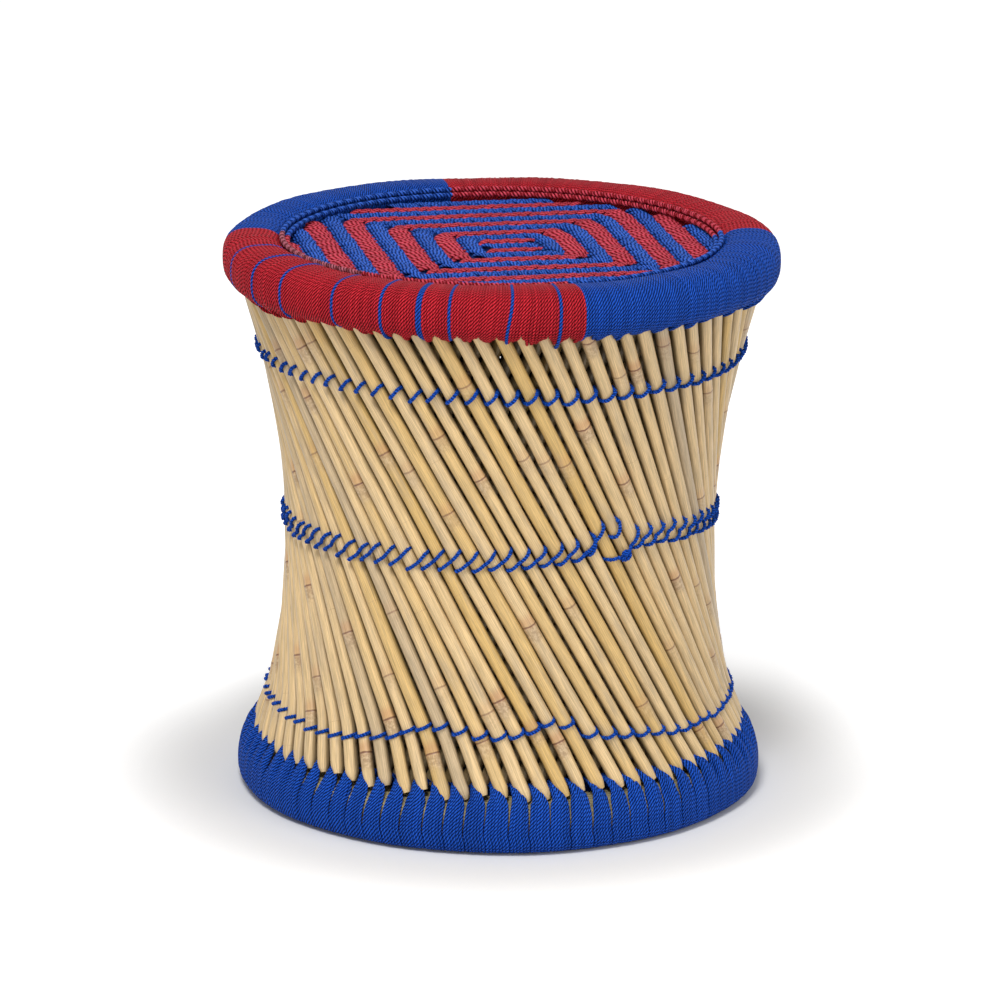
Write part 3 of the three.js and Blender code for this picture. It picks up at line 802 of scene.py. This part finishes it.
class STOOL_OT_canes(bpy.types.Operator):
    """Grow both crossed layers of canes"""
    bl_idname = "stool.canes"
    bl_label = "Canes"

    def layer(self, canes, label, painted_shade_factor, inputs):
        """One layer in its bundles, each a piece in place of its CAD node"""
        name = f"{label}_reed"
        material = kept(
            bpy.data.materials, name, reed_material, name, tuple(canes.pale), tuple(canes.golden),
            tuple(canes.grey), painted_shade_factor)
        tree = kept(bpy.data.node_groups, "Canes of a layer", cane_tree)
        each = canes.count // BUNDLES
        for bundle in range(BUNDLES):
            node = f"{label}_canes_{bundle + 1:02d}"
            piece = grown(tree, f"reed_{node}", bpy.data.meshes.new(node), {
                "Count": each, "First Number": bundle * each - each // 2 + 1,
                "First Angle": canes.first_angle, "Pitch Angle": TURN / canes.count,
                "Waist Height": canes.waist_height, "Low": CANE_LOW + canes.foot_lift,
                "High": CANE_HIGH, "Tip Taper": canes.tip_taper, "Flare Depth": canes.flare_depth,
                "Material": material, **inputs})
            placed(piece, f"{label}_cane", node)

    def execute(self, context):
        canes = context.scene.stool_canes
        self.layer(canes, "outer", 1.0, {
            "Waist Radius": canes.outer_waist, "Slope": canes.outer_slope, "Diameter": canes.diameter,
            "Diameter Spread": canes.spread, "Wander": canes.wander, "Flare": canes.flare,
            "Rings": 110, "Sides": 12, "Seed": 3})
        thickness_share, uneven_share = 1.1, 0.4
        # The inner layer takes the reed darkened by half: painted shade for lying inside the outer layer
        self.layer(canes, "inner", 0.5, {
            "Waist Radius": canes.inner_waist, "Slope": -canes.inner_slope,
            "Diameter": canes.diameter * thickness_share,
            "Diameter Spread": canes.spread * uneven_share, "Wander": canes.wander * uneven_share,
            "Flare": 0.0, "Rings": 64, "Sides": 8, "Seed": 11})
        return {"FINISHED"}


# Rings

def smooth(value):
    value = np.clip(value, 0, 1)
    return value * value * (3 - 2 * value)


def rolled(angle, power):
    """Across and up shares of a rounded-square outline at an angle"""
    across = np.sign(np.cos(angle)) * np.abs(np.cos(angle)) ** (2 / power)
    up = np.sign(np.sin(angle)) * np.abs(np.sin(angle)) ** (2 / power)
    return across, up


def to_gap(canes, degrees, height):
    """The nearest gap between outer canes, and how far off it the angle is, as a share of half a pitch"""
    pitch = 360 / canes.count
    first_gap = cane_angle(canes, 0.5, height)
    gap = first_gap + np.round((degrees - first_gap) / pitch) * pitch
    return gap, (degrees - gap) / (pitch / 2)


def loop_angles():
    """Angles round a roll's outline: the first is underneath, and the outer side has its own"""
    return (np.arange(TURN_STEPS) - HIDDEN_STEPS) / TURN_STEPS * TURN


def ring_waves(degrees, rings, salt):
    """How far the ring's surface and each of its turns stand out or sink in"""
    angle = np.radians(degrees)
    waves = rings.waviness * (np.sin(5 * angle + 1) + 0.7 * np.sin(11 * angle))
    return waves + rings.jitter * (noise_hash(degrees, salt) - 0.5)


def twist_starts(paths, salt, cord):
    """Where each turn's twist begins, so that its marks join the next turn's in long slanting strokes"""
    to_side = np.linalg.norm(np.diff(paths, axis=1), axis=2)[:, :HIDDEN_STEPS].sum(axis=1)
    side_steps = np.linalg.norm(np.diff(paths[:, HIDDEN_STEPS], axis=0), axis=1)
    along_ring = np.concatenate([[0], np.cumsum(side_steps)])
    plies, spacing = CORD_KINDS["wound"][:2]
    rise = along_ring * plies * spacing / (math.pi * cord)
    return 1.0 * MM * (noise_hash(np.arange(len(paths)), salt) - 0.5) - to_side - rise


def top_turns(canes, rings, degrees, outset=0.0):
    """Closed paths of the top winding's turns, which gather into the gaps between canes at the lower edge"""
    cord = rings.top_cord
    middle = (rings.top_inner + TOP_RING_OUTER) / 2
    centre = (TOP_RING_LOW + TOP_RING_HIGH) / 2
    degrees = np.asarray(degrees, dtype=float)[:, None]
    chance = noise_hash(degrees, 1) - 0.5
    outset = outset + ring_waves(degrees, rings, 1)
    across, up = rolled(loop_angles(), rings.top_squareness)
    radius = middle + ((TOP_RING_OUTER - rings.top_inner - cord) / 2 + outset) * across
    height = centre + ((TOP_RING_HIGH - TOP_RING_LOW - cord) / 2 + outset) * up
    outside = smooth((radius - middle) / (6 * MM) + 0.5)
    pull = smooth((rings.gather_high - height) / rings.gather_depth) * outside
    gap, off = to_gap(canes, degrees, TOP_RING_LOW)
    gap_chance = noise_hash(np.round(gap * 10), 2) - 0.5
    lean_middle, lean_size, lean_spread = LEANING_TURNS
    lean = lean_size * np.exp(-((degrees - lean_middle) / lean_spread) ** 2)
    lean = lean * smooth((TOP_RING_HIGH - height) / (TOP_RING_HIGH - TOP_RING_LOW)) * outside
    gathered = degrees + ((gap - degrees) * rings.gather_share + 0.4 * chance) * pull - lean
    over_cane = (1 - np.cos(np.pi * off)) / 2
    scallop = rings.scallop_lift * over_cane - rings.scallop_drop * (1 - over_cane)
    straggle = rings.straggle * (noise_hash(degrees, 21) > 0.82)
    drop = (scallop + rings.ragged_gap * gap_chance + rings.ragged * chance - straggle) * pull
    return polar(gathered, radius - rings.scallop_inset * over_cane * pull, height + drop)


def bottom_turns(canes, rings, degrees):
    """Closed paths of the bottom winding's turns, which fan out of the gaps between the canes"""
    cord = rings.bottom_cord
    tip = rings.fan_tip
    middle = (rings.bottom_inner + BOTTOM_RING_OUTER) / 2
    half_width = (BOTTOM_RING_OUTER - rings.bottom_inner - cord) / 2
    angle = loop_angles()
    high_across, high_up = rolled(angle, rings.fan_roundness)
    low_across, low_up = rolled(angle, rings.bottom_squareness)
    upper = np.sin(angle) >= 0
    radius = (middle + half_width * np.where(upper, high_across, low_across))[None, :]
    height = np.where(
        upper,
        rings.widest + (rings.fan_high - rings.widest) * high_up,
        rings.widest + (rings.widest - cord * 0.56) * low_up)[None, :]
    degrees = np.asarray(degrees, dtype=float)[:, None]
    gap, off = to_gap(canes, degrees, tip)

    # Below its tip each fan spreads by its own strength, and leans a little; above it, it follows the canes
    least, added, front_least = FAN_STRENGTH_SHARES
    strength = least + added * noise_hash(np.round(gap * 100), 5)
    front = (gap > FAN_FRONT_DEGREES[0]) & (gap < FAN_FRONT_DEGREES[1])
    strength = np.where(front, np.maximum(strength, front_least), strength)
    share = np.interp(height, FAN_HEIGHTS, FAN_WIDTH_SHARES)
    share = 1 - (1 - share) * np.where(height > tip - 2 * MM, 1.0, strength)
    lean = cane_angle(canes, 0, np.maximum(height, tip)) - cane_angle(canes, 0, tip)
    low_lean = math.degrees(rings.fan_lean) * smooth((tip - height) / (26 * MM))
    lean = np.where(height < tip, low_lean, lean) * smooth((height - rings.widest) / (6 * MM) + 1)
    fanned = gap + off * (180 / canes.count) * share + lean

    # Inside the ring the turns lie evenly; outside, a fan's edges dip and its turns pile up
    inside = radius < middle - 6 * MM
    dip = rings.fan_dip * off ** 2 * smooth((height - 25 * MM) / (9 * MM)) * ~inside
    pile = (noise_hash(degrees, 6) - 0.5) * smooth((height - 30 * MM) / (16 * MM))
    radius = radius + ring_waves(degrees, rings, 14) - dip - 1.6 * MM * pile
    return polar(np.where(inside, degrees, fanned), radius, height + 3.0 * MM * pile)


def turn_degrees(start, end, total):
    """Evenly spaced angles of the turns that fill a stretch"""
    count = round((end - start) / 360 * total)
    return start + (np.arange(count) + 0.5) * (end - start) / count


def grass_core(name, middle, half_width, centre, half_depth, power, material):
    """A roll of grass stems: a closed ring whose section is ridged by the stems"""
    stems = 34
    sections = 180
    points = stems * 3
    angle = np.linspace(0, TURN, points, endpoint=False)
    round_degrees = np.linspace(0, 360, sections, endpoint=False)
    across, up = rolled(angle, power)
    inset = 1.1 * MM * (1 - np.abs(np.sin(angle * stems / 2)))
    wander = 0.5 * MM * np.sin(np.radians(round_degrees)[:, None] * 3 + angle[None, :] * 5)
    radius = middle + (half_width - inset + wander) * across
    height = centre + (half_depth - inset + wander) * up
    places = polar(round_degrees[:, None], radius, height).reshape(-1, 3)
    faces = []
    for section in range(sections):
        after = (section + 1) % sections
        for point in range(points):
            beside = (point + 1) % points
            faces.append((
                section * points + point, after * points + point,
                after * points + beside, section * points + beside))
    mesh = bpy.data.meshes.new(name)
    mesh.from_pydata(places.tolist(), [], faces)
    around = np.stack(np.broadcast_arrays(
        np.cos(angle)[None, :], np.sin(angle)[None, :], np.radians(round_degrees)[:, None]), axis=-1)
    mesh.attributes.new("facing", "FLOAT_VECTOR", "POINT").data.foreach_set(
        "vector", around.astype(np.float32).ravel())
    mesh.materials.append(material)
    mesh.polygons.foreach_set("use_smooth", [True] * len(mesh.polygons))
    piece = linked(name, mesh)
    facing_out(mesh)
    return piece


def facing_out(mesh):
    """Recalculates a closed mesh's normals so that they point outwards"""
    shape = bmesh.new()
    shape.from_mesh(mesh)
    bmesh.ops.recalc_face_normals(shape, faces=shape.faces)
    shape.to_mesh(mesh)
    shape.free()


def grass_finish(rings):
    return kept(bpy.data.materials, "bundled_grass", grass_material, tuple(rings.grass))


class STOOL_OT_top_ring(bpy.types.Operator):
    """Wind the top ring in red and blue, with its accent turns"""
    bl_idname = "stool.top_ring"
    bl_label = "Top ring"

    def accent(self, canes, rings, cords, number, degrees):
        """A blue turn, or two side by side, in place of red ones"""
        paths = top_turns(canes, rings, degrees, outset=0.3 * MM)
        piece = sweep(
            f"accent_turn_{number}", list(paths), True, rings.top_cord,
            cord_finish(cords, "blue", "wound"), sides=8, swell=[1.12] * len(paths),
            start=twist_starts(paths, 17, rings.top_cord))
        placed(piece, "blue_cord", f"accent_cord_{number}")

    def execute(self, context):
        scene = context.scene
        canes, rings, cords = scene.stool_canes, scene.stool_rings, scene.stool_cords
        for node, start, end, colour in TOP_STRETCHES:
            degrees = turn_degrees(start, end, rings.top_turns)
            accented = np.zeros(len(degrees), dtype=bool)
            for number, (middle, turns) in enumerate(ACCENTS, start=1):
                if start < middle < end:
                    nearest = np.sort(np.argsort(np.abs(degrees - middle))[:turns])
                    accented[nearest] = True
                    self.accent(canes, rings, cords, number, degrees[nearest])
            degrees = degrees[~accented]
            paths = top_turns(canes, rings, degrees)
            piece = sweep(
                node.replace("wrap", "turns"), list(paths), True, rings.top_cord,
                cord_finish(cords, colour, "wound"), tint=noise_hash(degrees, 3),
                swell=1.02 + 0.16 * noise_hash(degrees, 15),
                start=twist_starts(paths, 16, rings.top_cord))
            placed(piece, f"{colour}_cord", node)
        inset = rings.top_cord + rings.core_inset
        core = grass_core(
            "top_grass_roll", (rings.top_inner + TOP_RING_OUTER) / 2,
            (TOP_RING_OUTER - rings.top_inner) / 2 - inset, (TOP_RING_LOW + TOP_RING_HIGH) / 2,
            (TOP_RING_HIGH - TOP_RING_LOW) / 2 - inset, rings.top_squareness, grass_finish(rings))
        placed(core, "grass", "top_ring_core")
        return {"FINISHED"}


class STOOL_OT_bottom_ring(bpy.types.Operator):
    """Wind the bottom ring in blue fans over its roll of grass"""
    bl_idname = "stool.bottom_ring"
    bl_label = "Bottom ring"

    def execute(self, context):
        scene = context.scene
        canes, rings, cords = scene.stool_canes, scene.stool_rings, scene.stool_cords
        for label, start, end in (("front", -90, 90), ("back", 90, 270)):
            degrees = turn_degrees(start, end, rings.bottom_turns)
            paths = bottom_turns(canes, rings, degrees)
            piece = sweep(
                f"bottom_turns_{label}", list(paths), True, rings.bottom_cord,
                cord_finish(cords, "blue", "wound"), tint=noise_hash(degrees, 4),
                swell=1.0 + 0.16 * noise_hash(degrees, 18),
                start=twist_starts(paths, 19, rings.bottom_cord))
            placed(piece, "blue_cord", "bottom_wrap")
        inset = rings.bottom_cord + 1.0 * MM
        core = grass_core(
            "bottom_grass_roll", (rings.bottom_inner + BOTTOM_RING_OUTER) / 2,
            (BOTTOM_RING_OUTER - rings.bottom_inner) / 2 - inset, (BOTTOM_RING_HIGH + inset) / 2,
            (BOTTOM_RING_HIGH - inset) / 2, rings.fan_roundness + 0.3, grass_finish(rings))
        placed(core, "grass", "bottom_ring_core")
        return {"FINISHED"}


# Lashings

def wrap_radius(canes, cords, degrees, height):
    """How far out a cord lies on the outer canes, dipping a little between them"""
    axis = cane_radius(canes, height)
    off = to_gap(canes, degrees, height)[1]
    pitch_length = TURN / canes.count * axis
    from_cane = (1 - np.abs(off)) * pitch_length / 2 * math.cos(math.atan(canes.outer_slope))
    bulge = 5.2 * MM * np.sqrt(np.clip(1 - (from_cane / (6.3 * MM)) ** 2, 0.25, 1))
    return axis + bulge + cords.lashing / 2


def travelled(points):
    """How far along a path each of its points lies"""
    return np.concatenate([[0], np.cumsum(np.linalg.norm(np.diff(points, axis=0), axis=1))])


def stitch(canes, cords, first, last, low, high, hook, steps=20, ends=(1, 1)):
    """A stitch over the canes, from gap first at one height up to gap last, steepening into a hook

    ends says whether each end goes in between the canes, 1, or stays on them, 0
    """
    share = np.linspace(0, 1, steps)
    bend = share * math.pi / 2
    sideways = share + (np.sin(bend) - share) * hook
    height = low + (high - low) * (share + (1 - np.cos(bend) - share) * hook)
    number = first + (last - first) * sideways
    degrees = cane_angle(canes, number, height)
    radius = wrap_radius(canes, cords, degrees, height)
    travel = travelled(polar(degrees, radius, height))
    dive = ends[0] * smooth(1 - travel / cords.dive_run)
    dive = dive + ends[1] * smooth(1 - (travel[-1] - travel) / cords.dive_run)
    return polar(degrees, radius - cords.dive * dive, height)


def behind(canes, gap_from, gap_to, high, low, steps):
    """The hidden run behind the outer canes, from the end of one stitch to the start of the next"""
    share = np.linspace(0, 1, steps + 2)[1:-1]
    height = high + (low - high) * share
    degrees = cane_angle(canes, gap_from + (gap_to - gap_from) * share, height)
    return polar(degrees, cane_radius(canes, height) - 2.0 * MM - 4.0 * MM * np.sin(np.pi * share), height)


def even_steps(points, step):
    """The same path with points an even step apart"""
    travel = travelled(points)
    at = np.linspace(0, travel[-1], max(4, int(travel[-1] / step)))
    return np.stack([np.interp(at, travel, points[:, axis]) for axis in range(3)], axis=1)


def sewn(canes, stitches):
    """One closed path through stitches, each with its gaps and heights, and the hidden runs between"""
    runs = []
    for number, (points, _, last, _, high) in enumerate(stitches):
        following = stitches[(number + 1) % len(stitches)]
        step = round((following[1] - last) / canes.count) * canes.count
        runs.append(points)
        runs.append(behind(canes, last, following[1] - step, high, following[3], 5))
    return np.concatenate(runs)


def even_stitches(canes, cords, salt, middles, kind, numbers):
    """A stitch for each number, half above and half below a middle height that may wander"""
    half, span, hook = kind
    stitches = []
    for number in numbers:
        spot = (cane_angle(canes, number, middles(0)) + 180) % 360 - 180
        middle = middles(spot) + 2 * MM * (float(noise_hash(number, salt)) - 0.5)
        bend = hook * (0.6 + 0.8 * float(noise_hash(number, salt + 20)))
        ends = number - 0.5, number - 0.5 + span, middle - half, middle + half
        stitches.append((stitch(canes, cords, *ends, bend), *ends))
    return stitches


def upper_lashing(canes, cords):
    """One stitch over each cane, rising to the right"""
    return sewn(canes, even_stitches(
        canes, cords, 8, lambda spot: cords.upper_height, UPPER_STITCH, range(canes.count)))


def waist_lashing(canes, cords):
    """Back stitches, each over two canes, a cane further on every time, uneven beside the knot"""
    def middles(spot):
        return np.interp(spot, WAIST_LASHING_DEGREES, WAIST_LASHING_HEIGHTS)

    before = range(WAIST_BREAK_FIRST)
    after = range(WAIST_BREAK_FIRST + len(WAIST_BREAK) + 1, canes.count)
    stitches = even_stitches(canes, cords, 9, middles, WAIST_STITCH, before)
    for *ends, hook in WAIST_BREAK:
        stitches.append((stitch(canes, cords, *ends, hook, steps=30), *ends))
    return sewn(canes, stitches + even_stitches(canes, cords, 9, middles, WAIST_STITCH, after))


def lower_lashing(canes, cords):
    """One nearly level stitch over each cane, at a height that wanders round the stool"""
    def middles(spot):
        return np.interp(spot, LOWER_LASHING_DEGREES, LOWER_LASHING_HEIGHTS)

    return sewn(canes, even_stitches(canes, cords, 10, middles, LOWER_STITCH, range(canes.count)))


def knot_path(canes, cords):
    """The knot: a tail out of a gap, two pressed turns, and a stitch away to the right"""
    number, height = KNOT_MIDDLE
    tail = stitch(
        canes, cords, KNOT_TAIL[0], number - 0.5, KNOT_TAIL[1], height - 1.4 * MM, 0.0, 10, (1, 0))
    exit_stitch = stitch(
        canes, cords, number + 0.3, KNOT_EXIT[0], height + 1.6 * MM, KNOT_EXIT[1], 0.25, 20, (0, 1))
    share = np.linspace(0, 1, 46)
    angle = math.pi * (KNOT_HALF_TURNS[0] + KNOT_HALF_TURNS[1] * share)
    reach = cords.knot * (1 - 0.55 * share)
    level = height + reach * np.sin(angle) * 0.95
    around = np.degrees(reach * np.cos(angle) / cane_radius(canes, level))
    lift = cords.lashing * 1.1 * share
    on_cane = wrap_radius(canes, cords, cane_angle(canes, round(number), height), height)
    coil = polar(cane_angle(canes, number, height) + around, on_cane + lift, level)
    return np.concatenate([tail, coil, exit_stitch])


class STOOL_OT_lashings(bpy.types.Operator):
    """Sew the three lashings and tie the knot"""
    bl_idname = "stool.lashings"
    bl_label = "Lashings"

    def execute(self, context):
        canes, cords = context.scene.stool_canes, context.scene.stool_cords
        finish = cord_finish(cords, "blue", "laid")
        routes = [
            ("upper_stitches", upper_lashing, "lashing_upper", True),
            ("waist_stitches", waist_lashing, "lashing_waist", True),
            ("lower_stitches", lower_lashing, "lashing_lower", True),
            ("waist_knot_cord", knot_path, "waist_knot", False),
        ]
        for name, route, node, closed in routes:
            path = even_steps(route(canes, cords), 0.8 * MM)
            piece = twisted(name, [path], closed, cords.lashing, cords.lay, finish)
            placed(piece, "blue_cord", node)
        return {"FINISHED"}


# Seat

def seat_floats(seat, radius):
    """Places of the seat's floats: for each, its middle, kind, colour and share of full length"""
    floats = []
    band = seat.band
    rings = int(radius / band) + 2
    colours = ("blue", "red")
    for row in range(-rings, rings + 1):
        ring = abs(row)
        half = seat.bar if ring < 2 else ring * band + 2 * MM
        count = int(2 * half / seat.rope_pitch)
        for number in range(count):
            u = (number - (count - 1) / 2) * seat.rope_pitch
            floats.append((u, row * band, "rope", colours[ring % 2], 1))
    for column in range(2, rings + 1):
        half = column * band - 0.2 * band
        count = int(2 * half / seat.row_pitch)
        for side in (-1, 1):
            for number in range(count):
                v = (number - (count - 1) / 2) * seat.row_pitch
                corner = min(1, max(0, (abs(v) - half) / (0.9 * band) + 1))
                u = side * (column * band - 0.22 * band * corner ** 2)
                floats.append((u, v, "row", colours[column % 2], 1 - 0.42 * corner ** 2))
    return [spot for spot in floats if math.hypot(spot[0] + seat.shift, spot[1]) < radius]


def float_run(seat, spot, height, under):
    """The cords of one float, as paths"""
    u, v, kind, colour, length_share = spot
    chance = float(noise_hash(u * 311 + v * 173, 12)) - 0.5
    if kind == "rope":
        lean = seat.rope_lean if colour == "red" else -seat.rope_lean
        length, cords, ragged = seat.rope_float, 3, 0.0
    else:
        lean = seat.red_row_lean if colour == "red" else seat.blue_row_lean
        length = min(seat.row_float / math.cos(lean), seat.rope_float) * length_share
        cords, ragged = 2, seat.ragged * abs(chance)
    cord_width = seat.cord * SEAT_CORD_SHARES[kind]
    share = np.linspace(0, 1, 9)
    arch = np.sin(np.pi * share) ** 0.6
    runs = []
    for cord in range(cords):
        place = cord - (cords - 1) / 2
        sideways = place * cord_width * (0.55 + 0.42 * arch)
        forward = (share - 0.5) * length + share * ragged
        x = u + seat.shift + forward * math.cos(lean) - sideways * math.sin(lean)
        y = v + forward * math.sin(lean) + sideways * math.cos(lean)
        drop = seat.rise * (1 - arch) + seat.crown * abs(place)
        drop = drop + seat.uneven * chance + seat.tilt * (share - 0.3)
        z = height + drop if under else height - drop
        turned_x = x * math.cos(seat.turn) - y * math.sin(seat.turn)
        turned_y = x * math.sin(seat.turn) + y * math.cos(seat.turn)
        runs.append(np.stack([turned_x, turned_y, z], axis=1))
    return runs


class STOOL_OT_seat(bpy.types.Operator):
    """Weave the seat and lay the cord along its edge"""
    bl_idname = "stool.seat"
    bl_label = "Seat"

    def weave(self, seat, cords, colour, reach):
        """All floats of one colour, above and below"""
        runs = []
        swells = []
        for spot in seat_floats(seat, reach):
            if spot[3] == colour:
                pair = float_run(seat, spot, SEAT_HIGH - seat.cord / 2, False)
                pair += float_run(seat, spot, SEAT_LOW + seat.cord / 2, True)
                runs += pair
                swells += [SEAT_CORD_SHARES[spot[2]]] * len(pair)
        piece = sweep(
            f"seat_{colour}_floats", runs, False, seat.cord, cord_finish(cords, colour, "woven"),
            tint=noise_hash(np.arange(len(runs)) // 2, 13), swell=swells,
            start=0.1 * noise_hash(np.arange(len(runs)), 22))
        placed(piece, f"{colour}_cord", f"seat_{colour}_cords")

    def edge(self, seat, cords, finish, slot):
        """The rows of the edge braid in one finish"""
        middle = (EDGE_CORD_HIGH + EDGE_CORD_LOW) / 2
        radius = EDGE_CORD_RADIUS - (EDGE_CORD_HIGH - EDGE_CORD_LOW) / 2
        runs = []
        for colour, start, end, row in EDGE_ROWS:
            if colour == finish:
                aside = (row - 0.5) * seat.edge_pitch
                degrees = np.linspace(start, end, int((end - start) * 3))
                runs.append(polar(degrees, radius + aside, middle + 0.9 * aside + seat.edge_lift))
        piece = twisted(
            f"seat_edge_{finish}", runs, False, seat.edge_cord, seat.edge_lay,
            cord_finish(cords, finish, "woven"))
        placed(piece, slot, "seat_edge_cord")

    def execute(self, context):
        seat, cords = context.scene.stool_seat, context.scene.stool_cords
        reach = SEAT_RADIUS - 1.5 * MM
        for colour in ("red", "blue"):
            self.weave(seat, cords, colour, reach)
        ground = grass_core(
            "seat_ground", 0.5 * reach, 0.5 * reach - 1 * MM, (SEAT_HIGH + SEAT_LOW) / 2, 0.6 * MM, 2.0,
            cord_finish(cords, "blue", "woven"))
        placed(ground, "blue_cord", "seat_red_cords", "seat_blue_cords")
        for finish, slot in (("red", "red_cord"), ("blue", "blue_cord"), ("faded", "red_cord")):
            self.edge(seat, cords, finish, slot)
        return {"FINISHED"}


# Stage

def turned_to(thing, place, turn):
    """Puts a lamp or the camera in its place"""
    thing.location = place
    thing.rotation_mode = "QUATERNION"
    thing.rotation_quaternion = turn
    return thing


def lamp(name, place, size, power):
    data = bpy.data.lights.new(name, "AREA")
    data.size = size
    data.energy = power
    aim = Vector(LAMP_TARGET) - Vector(place)
    return turned_to(linked(name, data), place, aim.to_track_quat("-Z", "Y"))


def seen_rays(wiring):
    """1 for rays that should meet a white background: the camera's, and mirrored or bent ones"""
    path = wiring.fields("ShaderNodeLightPath")
    mirrored = path["Is Glossy Ray"] + path["Is Transmission Ray"]
    return wiring.math("ADD", path["Is Camera Ray"], mirrored, clamp=True)


class STOOL_OT_stage(bpy.types.Operator):
    """Set the floor, the lamps, the world and the camera"""
    bl_idname = "stool.stage"
    bl_label = "Stage"

    def world(self, stage):
        world = bpy.data.worlds.new("white_studio")
        world.use_nodes = True
        wiring = Wiring(world.node_tree)
        wiring.feed(world.node_tree.nodes["Background"].inputs, {
            "Color": (1, 1, 1, 1), "Strength": wiring.between(seen_rays(wiring), stage.ambient, 1.0)})
        return world

    def floor(self, stage):
        mesh = bpy.data.meshes.new("floor")
        corners = [(-1, -1, 0), (1, -1, 0), (1, 1, 0), (-1, 1, 0)]
        mesh.from_pydata([Vector(corner) * FLOOR_REACH for corner in corners], [], [(0, 1, 2, 3)])
        material, wiring, shader = new_material("white_floor")
        x, y, _ = wiring.parts(wiring.out("ShaderNodeTexCoord", output="Object"))
        distance = wiring.math("SQRT", x * x + y * y)
        # The glow fades out towards the stool, so the floor is darker round and under it: a painted shadow
        spread = wiring.ramp(distance, stage.glow_start, stage.glow_full)
        wiring.feed(shader, {
            "Base Color": (0.8, 0.8, 0.8, 1), "Roughness": 0.9, "Emission Color": (1, 1, 1, 1),
            "Emission Strength": seen_rays(wiring) * stage.floor_glow * spread})
        mesh.materials.append(material)
        linked("floor", mesh)

    def camera(self, stage):
        data = bpy.data.cameras.new("camera")
        data.sensor_width = 36
        data.lens = stage.lens
        data.clip_end = 100
        back = Vector((0, -math.cos(stage.elevation), math.sin(stage.elevation)))
        place = Vector((0, 0, stage.target)) + back * stage.distance
        look = (-back).to_track_quat("-Z", "Y").to_matrix().to_4x4()
        turn = (look @ Matrix.Rotation(stage.roll, 4, "Z")).to_quaternion()
        return turned_to(linked("camera", data), place, turn)

    def execute(self, context):
        scene = context.scene
        stage = scene.stool_stage
        scene.view_settings.view_transform = "Standard"
        scene.world = self.world(stage)
        self.floor(stage)
        for name, place, size in LAMPS:
            lamp(name, place, size, getattr(stage, name))
        scene.camera = self.camera(stage)
        return {"FINISHED"}


class STOOL_PT_panel(bpy.types.Panel):
    """The stool's steps in the sidebar"""
    bl_idname = "STOOL_PT_panel"
    bl_label = "Mudda stool"
    bl_space_type = "VIEW_3D"
    bl_region_type = "UI"
    bl_category = "Stool"

    def draw(self, context):
        for operator in OPERATORS:
            self.layout.operator(operator.bl_idname)


OPERATORS = (
    STOOL_OT_canes, STOOL_OT_top_ring, STOOL_OT_bottom_ring, STOOL_OT_lashings, STOOL_OT_seat,
    STOOL_OT_stage,
)
GROUPS = {
    "stool_canes": StoolCanes,
    "stool_rings": StoolRings,
    "stool_cords": StoolCords,
    "stool_seat": StoolSeat,
    "stool_stage": StoolStage,
}


def register():
    for name, group in GROUPS.items():
        bpy.utils.register_class(group)
        setattr(bpy.types.Scene, name, PointerProperty(type=group))
    for operator in OPERATORS:
        bpy.utils.register_class(operator)
    bpy.utils.register_class(STOOL_PT_panel)


def unregister():
    bpy.utils.unregister_class(STOOL_PT_panel)
    for operator in reversed(OPERATORS):
        bpy.utils.unregister_class(operator)
    for name, group in reversed(GROUPS.items()):
        delattr(bpy.types.Scene, name)
        bpy.utils.unregister_class(group)


def main():
    register()
    bpy.ops.stool.canes()
    bpy.ops.stool.top_ring()
    bpy.ops.stool.bottom_ring()
    bpy.ops.stool.lashings()
    bpy.ops.stool.seat()
    bpy.ops.stool.stage()
    bpy.context.view_layer.update()


if __name__ == "__main__":
    main()
